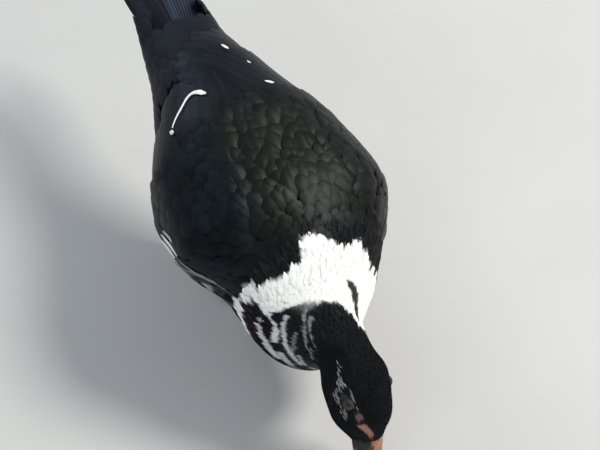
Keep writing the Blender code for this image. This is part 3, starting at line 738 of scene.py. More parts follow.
def add_feathers(build, tp, points, colour, white, u, v, each):
    n, m = points.shape[:2]
    faces = [(f[None] + (np.arange(n) * m)[:, None, None]).reshape(-1, f.shape[1]) for f in tp["faces"]]
    fx = np.empty((n, m, 3))
    fx[..., 0] = tp["x"] + each[:, None] * 0.5
    fx[..., 1] = tp["y"]
    fx[..., 2] = white
    build.add(points.reshape(-1, 3), faces, colour.reshape(-1, 3), fx.reshape(-1, 3), feather_uv(u, v, tp))


ARC_T = np.linspace(0, 12, 400)
ARC = np.concatenate([[0], np.cumsum(np.linalg.norm(np.diff(body_point(ARC_T, 0.5 * math.pi * np.ones(400)), axis=0), axis=1))])


def unwrap(t, angle, t_from=0.0, t_to=12.0, a_from=-math.pi, a_to=math.pi):
    """Place on the skin's unwrap: length along the body, angle round it."""
    lo, hi = np.interp(t_from, ARC_T, ARC), np.interp(t_to, ARC_T, ARC)
    u = (np.interp(t, ARC_T, ARC) - lo) / (hi - lo)
    v = (angle - a_from) / (a_to - a_from)
    return 0.02 + 0.96 * np.clip(u, 0, 1), 0.02 + 0.96 * np.clip(v, 0, 1)


def rows(t_from, t_to, a_from, a_to, gap_t, gap_a, jitter=0.16, keep=None):
    """Staggered rows of roots over the body, a_from and a_to in degrees, gaps in centimetres as functions of t."""
    t, out_t, out_a, k = t_from, [], [], 0
    while t <= t_to:
        fine = np.linspace(a_from, a_to, 361) * DEG
        ring = body_point(np.full(361, t), fine)
        arc = np.concatenate([[0], np.cumsum(np.linalg.norm(np.diff(ring, axis=0), axis=1))])
        gap = gap_a(t)
        n = max(1, int(round(arc[-1] / gap)))
        s = (np.arange(n) + (0.25 if k % 2 else 0.75)) * arc[-1] / n
        s = s + rng.uniform(-jitter, jitter, n) * gap
        out_a.append(np.interp(s, arc, fine))
        speed = np.linalg.norm(body_point(t + 1e-3, 1.2) - body_point(t - 1e-3, 1.2)) / 2e-3
        out_t.append(t + rng.uniform(-jitter, jitter, n) * gap_t(t) / speed)
        t += gap_t(t) / speed
        k += 1
    t, a = np.concatenate(out_t), np.concatenate(out_a)
    if keep is not None:
        ok = keep(t, a)
        t, a = t[ok], a[ok]
    return t, a


BODY = Surface(coat_point, -1, 1)


def body_feathers(build, tp, t, a, length, width, heading=None, spread=6.0, per_vertex=0.0, look=0.85, area=None, ragged=1.0, rim=0.0, dye=None, **more):
    """Feathers on the trunk, neck or head, coloured by the markings at their tips, or at each point by per_vertex."""
    n = len(t)
    head = rng.normal(0, spread * DEG, n) if heading is None else heading + rng.normal(0, spread * DEG, n)
    each = rng.uniform(-1, 1, n)
    points, vt, va = lay(BODY, tp, t, a, length * (1 + 0.10 * rng.uniform(-1, 1, n)), width * (1 + 0.10 * rng.uniform(-1, 1, n)), head, **more)
    i = np.argmin(np.abs(tp["x"] - look) + np.abs(tp["y"]) * 0.5)
    tt = vt * per_vertex + vt[:, i : i + 1] * (1 - per_vertex)
    aa = va * per_vertex + va[:, i : i + 1] * (1 - per_vertex)
    colour, white = plumage_colour(tt, aa, each[:, None] * np.ones(tt.shape), ragged)
    if dye is not None:
        share = dye[0][:, None, None]
        colour = colour * (1 - share) + dye[1] * share
    if rim:
        # Each vane is paler in the middle and darker towards its rim: painted sheen in the middle and painted shade
        # along its overlapped edges, over the vane's own darker velvet fringe.
        edge = np.maximum(np.abs(tp["y"]) ** 2.5, np.clip(tp["x"], 0, 1) ** 7)
        colour = colour * (1 + rim * (0.35 - edge))[None, :, None]
    u, v = unwrap(t, a, **(area or {}))
    add_feathers(build, tp, points, colour, white, u, v, each)


# ================================================================ the coat
SCALE = template(7, 7, root=0.40, wide=0.55, tip=0.80, round_=0.26)
SOFT = template(6, 11, root=0.35, wide=0.5, tip=0.72, round_=0.30, ragged=0.10, seed=3)
SPIKY = template(6, 13, root=0.30, wide=0.45, tip=0.62, round_=0.30, ragged=0.20, seed=4)
TUFT = template(3, 4, root=0.45, wide=0.5, tip=0.45, round_=0.45, thick=0.02)
LONG = template(20, 9, root=0.30, wide=0.45, tip=0.62, round_=0.030, thick=0.05)


def wing_cover(t, a):
    """Inside either wing's long feathers, behind the small coverts."""
    hidden = np.zeros(t.shape, bool)
    for side in SIDE:
        _, below, above, inside = wing_height(side, t, a)
        hidden |= inside & (below > 10) & (above > 10)
    return hidden


# ---- mantle: smooth pillowed scales
build = Build()
t, a = rows(4.05, 6.42, -104, 104, lambda t: np.interp(t, (3.7, 4.5, 6.3), (0.98, 0.92, 0.64)),
            lambda t: np.interp(t, (3.7, 4.5, 6.3), (1.16, 1.08, 0.74)), jitter=0.24,
            keep=lambda t, a: np.abs(a) / DEG < np.interp(t, (3.7, 4.2, 5.4, 5.9, 6.2), (34, 46, 58, 80, 104)))
size = np.interp(t, (3.7, 4.5, 6.3), (1.28, 1.12, 0.80)) * rng.uniform(0.86, 1.14, len(t))
body_feathers(build, SCALE, t, a, 2.05 * size, 1.36 * size, heading=np.sin(a) * 0.10, spread=9, root=-0.30, tip=rng.uniform(0.01, 0.06, len(t)),
              camber=0.10 * size, height=upper_height, per_vertex=0.2, rim=0.42)
# Wing coverts: broader and flatter, in rows down each wing.
t, a = rows(4.35, 6.36, -105, 105, lambda t: np.interp(t, (4.3, 6.3), (1.25, 0.70)), lambda t: np.interp(t, (4.3, 6.3), (1.35, 0.85)),
            jitter=0.08, keep=lambda t, a: np.abs(a) / DEG > np.interp(t, (3.7, 4.2, 5.4, 5.9, 6.2), (34, 44, 55, 76, 99)))
size = np.interp(t, (4.3, 6.3), (1.45, 0.85))
body_feathers(build, SCALE, t, a, 2.1 * size, 1.42 * size, heading=np.sin(a) * 0.06, spread=3.5, root=-0.28, tip=rng.uniform(0.00, 0.03, len(t)),
              camber=0.07 * size, height=upper_height, per_vertex=0.2, rim=0.3)
build.make("mantle_and_coverts", M_BACK, uv=True, slot="black_plumage")

# ---- rump and tail coverts: longer and smoother towards the tail
COVERT = template(9, 11, root=0.35, wide=0.5, tip=0.66, round_=0.16, ragged=0.02, thick=0.04, seed=5)
build = Build()
t, a = rows(1.25, 3.3, -180, 180, lambda t: np.interp(t, (0.7, 3.3), (1.15, 1.10)),
            lambda t: np.interp(t, (0.7, 3.3), (1.15, 1.25)), jitter=0.10, keep=lambda t, a: ~(wing_cover(t, a) & (t > 2.5)) & ((np.abs(a) / DEG > 58) | (t > 1.88)))
long_ = np.interp(t, (1.25, 1.7, 2.2, 3.3), (2.6, 3.0, 2.3, 3.0)) * np.interp(np.abs(a) / DEG, (0, 90, 180), (1.0, 0.85, 0.8))
body_feathers(build, COVERT, t, a, long_, np.interp(t, (0.7, 3.3), (1.75, 1.7)), spread=4, root=-0.26, tip=0.015, camber=0.06, per_vertex=0.2)
build.make("rump_and_tail_coverts", M_SOFT, uv=True, slot="black_plumage")

# ---- flanks and belly
build = Build()
t, a = rows(3.0, 6.6, 94, 266, lambda t: 0.85, lambda t: 0.95)
a = np.where(a > math.pi, a - 2 * math.pi, a)
body_feathers(build, SOFT, t, a, 2.2, 1.35, root=-0.30, tip=0.02, camber=0.07, per_vertex=0.15)
build.make("flanks_and_belly", M_SOFT, uv=True, slot="black_plumage")

# ---- breast, white collar and barred neck
PLUME = plume(template(5, 7, root=0.30, wide=0.45, tip=0.55, round_=0.35, thick=0.03), 9, 11)
FINE = plume(template(4, 5, root=0.35, wide=0.45, tip=0.55, round_=0.35, thick=0.02), 5, 12, thin=0.11, rise=0.015)
DARK = template(5, 11, root=0.30, wide=0.45, tip=0.62, round_=0.32, ragged=0.07, seed=6)
t, a = rows(6.10, 7.45, -180, 180, lambda t: np.interp(t, (6.1, 7.2), (0.44, 0.36)), lambda t: np.interp(t, (6.1, 7.2), (0.52, 0.42)))
size = np.interp(t, (6.1, 7.4), (1.15, 0.85))
near = markings(t - 0.10, a)[0]
pale_ones = (near > 0.3) | (markings(t - 0.3, a)[0] > 0.5)
for name, chosen, tp in (("white_collar", pale_ones, PLUME), ("dark_breast", ~pale_ones, DARK)):
    build = Build()
    tt, aa, sz = t[chosen], a[chosen], size[chosen]
    fringe = 1 - smooth(tt - np.interp(mark_angle(tt, aa), COLLAR[:, 0], COLLAR[:, 1]), 0.1, 0.5)
    loose = fringe * (name == "white_collar")
    body_feathers(build, tp, tt, aa, (1.5 + 0.5 * loose) * sz, 0.74 * sz, spread=11, root=-0.30, tip=0.02 + rng.uniform(0, 0.12, len(tt)) * (0.2 + loose),
                  camber=0.03, per_vertex=0.25, curl=rng.normal(0, 0.07, len(tt)))
    build.make(name, M_PALE if name == "white_collar" else M_SOFT, uv=True, slot="white_plumage" if name == "white_collar" else "black_plumage")

build = Build()
t, a = rows(7.3, 8.9, -180, 180, lambda t: 0.29, lambda t: 0.32)
body_feathers(build, FINE, t, a, 0.95, 0.50, spread=9, root=-0.20, tip=0.015, camber=0.02, per_vertex=0.6, curl=rng.normal(0, 0.05, len(t)))
build.make("neck_feathers", M_PALE, uv=True, slot="white_plumage")

# ---- hindneck and head: velvet tufts, left out on the bare skin round the eyes
EYE_RADIUS = 0.60
EYE_T, EYE_ANGLE = 10.30, math.radians(60)
EYE_SUNK = 0.45


def eye_frame(sign):
    """Middle of the eyeball, and the directions outwards, towards the bill and towards the crown."""
    middle = body_point(EYE_T, sign * EYE_ANGLE, -EYE_SUNK)
    out = unit(body_point(EYE_T, sign * EYE_ANGLE, 0.5) - middle)
    ahead = body_point(EYE_T + 1e-2, sign * EYE_ANGLE) - body_point(EYE_T - 1e-2, sign * EYE_ANGLE)
    ahead = unit(ahead - out * (ahead @ out))
    up = np.cross(out, ahead)
    crown = body_point(EYE_T, 0.0) - middle
    return middle, out, ahead, up if up @ crown > 0 else -up


EYES = {sign: eye_frame(sign) for sign in (1, -1)}


def face_place(t, angle):
    """Distances from the nearer eye along the head towards the bill, towards the crown and outwards."""
    p = coat_point(t, angle)
    d = [[((p - m) * v).sum(-1) for v in (ahead, up, out)] for m, out, ahead, up in EYES.values()]
    near = d[0][2] > d[1][2]
    return [np.where(near, d[0][k], d[1][k]) for k in range(3)], near


def lore(t, angle):
    """The reddish skin in front of the eye, and the fleshy ridge that runs on from it to the bill's upper edge."""
    (x, y, z), _ = face_place(t, angle)
    red = (1 - smooth(np.hypot((x - 1.42) / 0.62, (y - 0.50) / 0.36), 0.75, 1.1)) * (z > -0.9)
    across = np.abs(-np.abs(np.asarray(angle)) / DEG - np.interp(t, (11.05, 11.75, 12.4), (-50, -33, -27)))
    ridge = smooth(np.asarray(t), 10.98, 11.12) * (1 - smooth(across, 7.5, 10.5))
    return red, ridge


def bare(t, angle):
    """How bare the skin is: the lids and their surround, the lore and the ridge."""
    (x, y, z), _ = face_place(t, angle)
    ring = np.hypot((x * 0.94 + y * 0.34 + 0.10) / 0.90, (y * 0.94 - x * 0.34 - 0.03) / 0.50)
    b = np.where(z > -0.9, 1 - smooth(ring, 0.85, 1.08), 0)
    return np.maximum.reduce([b, *lore(t, angle)])


FLECK_DICE = np.random.default_rng(77)
# Pale strands over and under the eye and the trail of specks behind it: towards the bill, towards the crown.
STRANDS = (
    (((-1.60, 0.02), (-1.23, 0.36), (-0.43, 0.54), (0.41, 0.63), (0.95, 0.66)), 0.075, 0.75),
    (((-1.95, -0.16), (-1.42, -0.42), (-0.85, -0.68), (-0.14, -0.72), (0.53, -0.58), (1.15, -0.42)), 0.115, 0.85),
    (((-1.90, -0.12), (-1.35, -0.12), (-0.95, -0.30)), 0.20, 0.80),
    (((-0.70, -0.95), (0.20, -0.98), (1.10, -0.75), (1.60, -0.52)), 0.07, 0.35),
    (((-3.40, -0.10), (-2.50, 0.02), (-1.95, -0.15)), 0.16, 0.28),
)


def from_line(x, y, points):
    """Distance to a line of points."""
    best = np.full(np.shape(x), 9.0)
    for (ax, ay), (bx, by) in zip(points, points[1:]):
        k = np.clip(((x - ax) * (bx - ax) + (y - ay) * (by - ay)) / ((bx - ax) ** 2 + (by - ay) ** 2), 0, 1)
        best = np.minimum(best, np.hypot(x - ax - k * (bx - ax), y - ay - k * (by - ay)))
    return best


def face_flecks(t, angle):
    """Pale tufts behind, over and under the eye."""
    (x, y, z), _ = face_place(t, angle)
    chance = np.zeros(np.shape(t))
    for points, half, most in STRANDS:
        chance = np.maximum(chance, most * (1 - smooth(from_line(x, y, points), half * 0.7, half * 1.5)))
    chance = np.where(z > -0.9, chance, 0)
    return ((FLECK_DICE.random(np.shape(t)) < chance) * FLECK_DICE.uniform(0.35, 1.0, np.shape(t)))


build = Build()
t, a = rows(8.45, 11.97, -180, 180, lambda t: np.interp(t, (8.5, 10, 12), (0.17, 0.15, 0.14)), lambda t: np.interp(t, (8.5, 10, 12), (0.17, 0.15, 0.13)),
            jitter=0.3, keep=lambda t, a: bare(t, a) < 0.5)
# The face's rounded front, down to the bill.
extra_t, extra_a = np.meshgrid(np.linspace(12.04, 12.46, 7), np.linspace(-math.pi, math.pi, 66, endpoint=False), indexing="ij")
t = np.concatenate([t, extra_t.ravel() + rng.uniform(-0.02, 0.02, extra_t.size)])
a = np.concatenate([a, extra_a.ravel() + rng.uniform(-0.03, 0.03, extra_a.size)])
size = np.interp(t, (8.5, 10, 11.8), (1.25, 1.0, 0.66))
pale_tuft = face_flecks(t, a)
body_feathers(build, TUFT, t, a, 0.55 * size, 0.17 * size, spread=7, root=-0.07, tip=0.006, camber=0.006, shaft=0.0, per_vertex=0.0,
              area={"t_from": 8.2, "t_to": 12.5}, dye=(pale_tuft, srgb(166, 167, 174)))
build.make("head_velvet", M_VELVET, uv=True, slot="black_plumage")


# ---- long feathers of the wings
WING_LIE = {
    # Places (t, degrees) down each wing from its upper to its lower edge, at four stages from the wrist to the tips.
    "left": np.array([
        [(6.25, 50), (6.25, 58), (6.25, 66), (6.25, 74), (6.25, 82)],
        [(5.00, 20), (5.00, 41), (5.00, 62), (5.00, 83), (5.00, 102)],
        [(3.50, -6), (3.42, 22), (3.36, 48), (3.30, 73), (3.25, 96)],
        [(2.80, -36), (2.28, -37), (2.10, -16), (1.98, 12), (1.80, 38)],
    ]),
    "right": np.array([
        [(6.25, 50), (6.25, 58), (6.25, 66), (6.25, 74), (6.25, 82)],
        [(5.00, 20), (5.00, 41), (5.00, 62), (5.00, 83), (5.00, 102)],
        [(3.85, 4), (3.80, 27), (3.76, 51), (3.72, 75), (3.70, 98)],
        [(2.76, 6), (2.74, 24), (2.76, 40), (2.84, 56), (2.96, 72)],
    ]),
}


def wing_place(side, lam, sig):
    """Body place (t, radians) of a place on the folded wing: lam 0 at the wrist to 1 at the tips, sig 0 at the upper edge to 1 at the lower."""
    lam, sig = np.broadcast_arrays(np.asarray(lam, float), np.asarray(sig, float))
    x = sig * 4
    cols = [[natural_spline(WING_LIE[side][i, :, k], np.clip(x, -0.6, 4.6)) for k in (0, 1)] for i in range(4)]
    u = lam * 3
    w = [-(u - 1) * (u - 2) * (u - 3) / 6, u * (u - 2) * (u - 3) / 2, -u * (u - 1) * (u - 3) / 2, u * (u - 1) * (u - 2) / 6]
    t = sum(w[i] * cols[i][0] for i in range(4))
    a = sum(w[i] * cols[i][1] for i in range(4))
    return t, a * DEG * SIDE[side]


def wing_surface(side):
    def point(lam, sig, out=0.0):
        t, a = wing_place(side, lam, sig)
        over, below, above, _ = wing_height(side, t, a)
        return coat_point(t, a, over * ramp(t, above, below) + out)

    # lam grows towards the tail, sig down the bird's flank.
    return Surface(point, 1, -1 if side == "left" else 1)


def wing_feathers(build, side, roots, tips, width, out, tp=LONG, bow=0.0):
    """roots and tips: arrays of (lam, sig)."""
    surface = wing_surface(side)
    roots, tips = np.asarray(roots, float), np.asarray(tips, float)
    middle = (roots + tips) / 2
    middle[:, 1] += bow
    p = np.stack([roots[:, 0], middle[:, 0], tips[:, 0]], -1)
    q = np.stack([roots[:, 1], middle[:, 1], tips[:, 1]], -1)
    n = len(width)
    points, vp, vq = lay_long(surface, tp, p, q, width, out, camber=0.035, shaft=0.012)
    t, a = wing_place(side, vp, vq)
    each = rng.uniform(-1, 1, n)
    colour, white = plumage_colour(t, a, each[:, None] * np.ones(t.shape))
    # A fine paler shaft, and a darker inner web.
    shaft = np.exp(-((tp["y"] / 0.09) ** 2))[None, :, None]
    colour = colour * (1 + 0.30 * shaft) * (1 - 0.15 * (tp["y"] > 0.3))[None, :, None]
    lo, hi = roots[:, 0], roots[:, 1]
    add_feathers(build, tp, points, colour, white * 0, 0.02 + 0.96 * np.clip(lo, 0, 1), 0.02 + 0.96 * np.clip(hi, 0, 1), each)


build = Build()
for side in SIDE:
    # Primaries, lowest, out to the tips.
    n = 8
    s = np.linspace(0.02, 0.98, n)
    wing_feathers(build, side, np.stack([np.full(n, 0.55), 0.12 + 0.8 * s], -1), np.stack([0.985 + 0.012 * np.cos(9 * s), s], -1),
                  np.full(n, 2.1 if side == "left" else 1.9), (-0.42 - 0.10 * s, -0.20 - 0.16 * s))
    # Secondaries and tertials, each over the one below it.
    n = 12
    s = np.linspace(0.03, 0.97, n)
    reach = 0.93 - 0.13 * s + 0.02 * np.sin(5 * s)
    wing_feathers(build, side, np.stack([np.full(n, 0.40), 0.03 + 0.95 * s], -1), np.stack([reach, s], -1),
                  np.full(n, 2.3), (-0.30 - 0.10 * s, -0.04 - 0.12 * s))
    # Greater coverts.
    n = 15
    s = np.linspace(0.02, 0.98, n)
    wing_feathers(build, side, np.stack([np.full(n, 0.36), s], -1), np.stack([0.635 + 0.02 * np.sin(7 * s), s], -1),
                  np.full(n, 1.75), (-0.20 - 0.05 * s, 0.04 - 0.06 * s), tp=template(12, 9, root=0.35, wide=0.5, tip=0.72, round_=0.07, thick=0.045))
build.make("wing_feathers", M_LONG, uv=True, slot="black_plumage", replaces=("wing_left", "wing_right"))

# ---- tail feathers
TAIL_LENGTH, TAIL_RISE, TAIL_PITCH = 15.5, math.radians(17), math.radians(20)
TAIL_ROOT = np.array((0.0, 8.2, 19.35))
TAIL_AHEAD = np.array((0.0, math.cos(TAIL_RISE), math.sin(TAIL_RISE)))
TAIL_OVER = np.array((0.0, -math.sin(TAIL_RISE), math.cos(TAIL_RISE)))
TAIL_HALF = {1: (3.20, 3.75, 4.05, 4.00, 4.00, 3.60), -1: (2.90, 3.20, 3.12, 2.80, 3.10, 2.95)}
TAIL_SPLIT = (0.06, 0.06, 0.08, 0.64, 0.50, 0.42)


def tail_point(sign, u, v, out=0.0):
    """Middle surface of one half of the tail: u from root to tip, v from the split to the outer edge."""
    u, v, out = np.broadcast_arrays(np.asarray(u, float), np.asarray(v, float), np.asarray(out, float))
    uc = np.clip(u, 0, 1.02)
    half, split = steady_spline(TAIL_HALF[sign], 5 * np.clip(uc, 0, 1)), steady_spline(TAIL_SPLIT, 5 * np.clip(uc, 0, 1))
    across = split + (half - split) * v
    along = TAIL_LENGTH * u
    sag = 0.10 * across**2 / 3
    p = TAIL_ROOT + TAIL_AHEAD * along[..., None] + TAIL_OVER * (-across * math.sin(TAIL_PITCH) - sag - 0.012 * along**2 / 4)[..., None]
    p[..., 0] += sign * across * math.cos(TAIL_PITCH)
    face = TAIL_OVER * math.cos(TAIL_PITCH) + np.array((sign * math.sin(TAIL_PITCH), 0, 0))
    return p + face * out[..., None]


build = Build()
RECTRIX = template(24, 11, root=0.30, wide=0.40, tip=0.70, round_=0.035, thick=0.05)
for sign in (1, -1):
    # u grows towards the tip, v away from the middle: outwards is up.
    surface = Surface(lambda u, v, out=0.0, sign=sign: tail_point(sign, u, v, out), 1, -1 if sign > 0 else 1)
    n = 9
    s = np.linspace(0.0, 1.0, n)
    v = np.linspace(0.19, 0.92 if sign > 0 else 0.80, n)
    tip = 1.0 - 0.10 * np.abs(2 * v - 0.7) ** 2.2 - 0.03 * s
    p = np.stack([np.full(n, 0.0), tip / 2, tip], -1)
    q = np.stack([0.02 + 0.88 * (v - 0.19), 0.16 + 1.0 * (v - 0.19), v], -1)
    width = np.full(n, 1.20 if sign > 0 else 0.98)
    layer = 0.20 - 0.05 * np.arange(n)
    points, vp, vq = lay_long(surface, RECTRIX, p, q, width, (0.10 + 0 * layer, layer * 0.55), camber=0.05, shaft=0.03)
    each = rng.uniform(-1, 1, n)
    # Painted light: the bird's right half of the tail gets a darker tint as painted shade, and its left half a brighter
    # blue tint as painted sheen.
    tint = srgb(27, 29, 36) if sign < 0 else srgb(36, 42, 56)
    colour = np.ones((*vp.shape, 1)) * tint * (1 + 0.2 * each)[:, None, None]
    shaft = np.exp(-((RECTRIX["y"] / 0.08) ** 2))[None, :, None]
    edge = smooth(np.abs(RECTRIX["y"]), 0.86, 1.0)[None, :, None]
    colour = colour * (1 + 1.6 * shaft + 0.5 * edge)
    add_feathers(build, RECTRIX, points, colour, 0 * vp, 0.02 + 0.96 * np.full(n, 0.25 if sign < 0 else 0.75), 0.05 + 0.9 * s, each)
build.make("tail_feathers", M_LONG, uv=True, slot="black_plumage", replaces=("tail_left", "tail_right"))

# ================================================================ legs
TOES = {"inner": (5.0, 27.0, 0.40), "middle": (6.4, 0.0, 0.44), "outer": (5.9, -26.0, 0.40)}
HOCK_BACK, HOCK_HIGH = 2.4, 5.9
FOOT = {"left": (3.7, -3.7, 3.0), "right": (-1.7, 1.1, 18.0)}
WEB_THICK = 0.20
FOOT_TINT = srgb(74, 68, 60)


def remeshed(verts, faces, voxel):
    """The shells joined by a voxel remesh; gives plan centimetres back."""
    mesh = bpy.data.meshes.new("shells")
    mesh.from_pydata([tuple(p) for p in verts], [], [tuple(int(i) for i in f) for part in faces for f in part])
    obj = bpy.data.objects.new("shells", mesh)
    bpy.context.scene.collection.objects.link(obj)
    m = obj.modifiers.new("remesh", "REMESH")
    m.mode, m.voxel_size, m.adaptivity = "VOXEL", voxel, 0.0
    done = obj.evaluated_get(bpy.context.evaluated_depsgraph_get()).to_mesh()
    n = len(done.vertices)
    co = np.empty(n * 3, np.float32)
    done.vertices.foreach_get("co", co)
    loops = np.empty(len(done.loops), np.int32)
    done.loops.foreach_get("vertex_index", loops)
    sizes = np.empty(len(done.polygons), np.int32)
    done.polygons.foreach_get("loop_total", sizes)
    obj.evaluated_get(bpy.context.evaluated_depsgraph_get()).to_mesh_clear()
    bpy.data.objects.remove(obj)
    assert (sizes == 4).all()
    return co.reshape(-1, 3).astype(float), loops.reshape(-1, 4)


def relax(verts, quads, rounds, share=0.5):
    """Evens out a mesh, so that voxel steps go."""
    a = np.concatenate([quads[:, [0, 1]], quads[:, [1, 2]], quads[:, [2, 3]], quads[:, [3, 0]]])
    a = np.concatenate([a, a[:, ::-1]])
    n = len(verts)
    degree = np.bincount(a[:, 0], minlength=n)[:, None]
    for _ in range(rounds):
        total = np.stack([np.bincount(a[:, 0], weights=verts[a[:, 1], k], minlength=n) for k in range(3)], -1)
        verts = verts + (total / degree - verts) * share
    return verts


skin = Build()
claws = Build()
thigh_lines = {}
for side, (fx_, fy_, turned) in FOOT.items():
    out = 1 if side == "left" else -1
    ankle = np.array((fx_, fy_, 0.78))
    hock = np.array((fx_ + 0.1 * out, fy_ + HOCK_BACK, HOCK_HIGH))
    hip = np.array((4.3 * out, fy_ * 0.35 - 3.4, 12.6))
    s = np.linspace(0, 1, 26)
    path = hip + (hock + np.array((0, 0, 0.75)) - hip) * s[:, None]
    path[:, 1] += 0.7 * np.sin(math.pi * s)
    thick = 2.55 * (1 - s) ** 0.8 + 0.72
    thigh_lines[side] = (path, thick)
    verts, faces = loft_arrays(tube_rings(path, np.maximum(thick - 0.32, 0.42), 28, up=(0, -1, 0)))
    # Shank, from inside the thigh's end to the ankle, and the foot.
    shells_v, shells_f, count = [verts], [f for f in faces], len(verts)

    def shell(rings):
        global shells_v, shells_f, count
        v, f = loft_arrays(rings)
        shells_v.append(v)
        shells_f += [g + count for g in f]
        count += len(v)

    top = path[-1] + (path[-1] - path[-2]) * 0.2 - np.array((0, 0, -0.3))
    s = np.linspace(0, 1, 90)
    line = top + (ankle + np.array((0, 0, -0.15)) - top) * s[:, None]
    wide = 0.47 + 0.15 * np.exp(-((s - 0.06) / 0.14) ** 2) + 0.06 * s**3
    around = np.linspace(0, 2 * math.pi, 28, endpoint=False)
    # Scutes across the front of the shank.
    front = np.clip(-np.cos(around - 0.5 * math.pi), 0, 1) ** 0.6
    plate = np.abs(np.sin(s * 11 * math.pi)) ** 0.35
    rings = tube_rings(line, wide, 28, up=(0, -1, 0), shape=1 + 0.045 * plate[:, None] * (0.4 + 0.6 * front[None, :]))
    shell(rings)
    ball = np.linspace(-0.5 * math.pi, 0.5 * math.pi, 13)[1:-1]
    lump = [np.stack([fx_ + 0.60 * math.cos(b) * np.cos(around), fy_ + 0.72 * math.cos(b) * np.sin(around),
                      0.42 + 0.50 * math.sin(b) + 0 * around], -1) for b in ball]
    shell(lump)
    tips = []
    for toe, (length, turn, radius) in TOES.items():
        b = math.radians(turn + turned) * -out
        way = np.array((math.sin(b), -math.cos(b), 0.0))
        s = np.linspace(0, 1, 70)
        r = radius * (1 - 0.42 * s) * (1 + 0.10 * np.sin(s * 3 * math.pi) ** 2) * 0.97
        line = np.array((fx_, fy_, 0.0)) + way * (length * s)[:, None]
        line[:, 2] = r * 0.78
        plates = 1 + 0.07 * np.abs(np.sin(s * length * 1.75 * math.pi))[:, None] ** 0.4 * np.clip(np.sin(np.linspace(0, 2 * math.pi, 22, endpoint=False)), 0, 1)[None, :] ** 0.5
        shell(tube_rings(line, r, 22, shape=plates))
        rr = radius * 0.58
        end = np.array((fx_, fy_, 0.0)) + way * length
        end[2] = rr * 0.78
        tips.append((toe, end, way, rr))
    ends = {toe: (p, way) for toe, p, way, _ in tips}
    order = ["inner", "middle", "outer"]
    rim = []
    for first, second in zip(order, order[1:]):
        p, q = ends[first][0] - ends[first][1] * 0.25, ends[second][0] - ends[second][1] * 0.25
        for k in np.linspace(0, 1, 15):
            m = p + (q - p) * k
            heel = np.array((fx_, fy_, m[2]))
            rim.append(m + (heel - m) * 0.20 * math.sin(math.pi * k))
    rim = np.array(rim)
    # The web: a thin sheet from the ankle to the rim, puckered along its rays.
    reach = np.linspace(0.04, 1, 20)
    heel = np.array((fx_, fy_ + 0.2, 0.0))
    upper, lower = [], []
    for k, share in enumerate(reach):
        p = heel + (rim - heel) * share
        pucker = 0.018 * np.sin(np.arange(len(rim)) * 2.1) * math.sin(math.pi * share) + 0.02 * np.sin(share * 20)
        up_ = p.copy()
        up_[:, 2] = 0.15 + pucker
        lo_ = p.copy()
        lo_[:, 2] = -0.05
        upper.append(up_)
        lower.append(lo_)
    upper, lower = np.array(upper), np.array(lower)
    wrap = np.concatenate([upper, lower[:, ::-1]], axis=1)
    shell(wrap)
    b = math.radians(158 + turned) * -out
    way = np.array((math.sin(b), -math.cos(b), 0.0))
    s = np.linspace(0, 1, 30)
    line = np.array((fx_, fy_, 0.0)) + way * (0.3 + 1.75 * s)[:, None]
    line[:, 2] = 0.42 - 0.20 * s
    r = 0.26 - 0.08 * s
    shell(tube_rings(line, r * (1 + 0.06 * np.abs(np.sin(s * 14))), 18))
    tips.append(("hind", line[-1], way, r[-1]))
    v, q = remeshed(np.concatenate(shells_v), shells_f, 0.095)
    v = relax(v, q, 2, 0.45)
    v[:, 2] = np.maximum(v[:, 2], 0.0)
    leg = srgb(70, 66, 60)
    spots = 0.5 + 0.5 * noise(v[:, 0] * 1.6, v[:, 1] * 1.6 + v[:, 2], 3)
    tint = leg * (0.75 + 0.5 * spots)[:, None]
    yellow = smooth(noise(v[:, 0] * 2.3 + 9, v[:, 1] * 2.3 - v[:, 2] * 2, 5), 0.25, 0.6)[:, None]
    tint = tint * (1 - 0.5 * yellow) + srgb(150, 122, 66) * 0.5 * yellow
    feathered = smooth(v[:, 2], 6.0, 6.8)[:, None]
    tint = tint * (1 - feathered) + BLACK * feathered
    skin.add(v, [q], tint)
    for toe, p, way, r in tips:
        s = np.linspace(0, 1, 16)
        length = 0.50 if toe == "hind" else 0.72
        line = p + way * (-0.12 + (length + 0.12) * s)[:, None]
        line[:, 2] = p[2] + 0.05 - (p[2] - 0.05) * s**1.7
        rings = tube_rings(line, (r * 0.86) * (1 - 0.86 * s**1.25), 18)
        rings[..., 2] = np.maximum(rings[..., 2], 0.0)
        v, f = loft_arrays(rings)
        shade = np.concatenate([np.repeat(s, 18), [0, 1]])[:, None]
        claws.add(v, f, srgb(64, 58, 52) * (1 - shade) + srgb(120, 108, 92) * shade)
claws.make("claws", M_CLAW, slot="claw_horn", sharp=60,
           replaces=[f"claw_{s}_{toe}" for s in SIDE for toe in ("inner", "middle", "outer", "hind")])

# ================================================================ the skin of the body, neck and head
NT, NA = 210, 144


def skin_depth(t, angle):
    """How deep the skin lies under the plumage's outline."""
    d = np.interp(t, (0, 1, 2, 7, 8, 9, 10, 12), (0.16, 0.3, 0.42, 0.42, 0.30, 0.18, 0.11, 0.08))
    return d


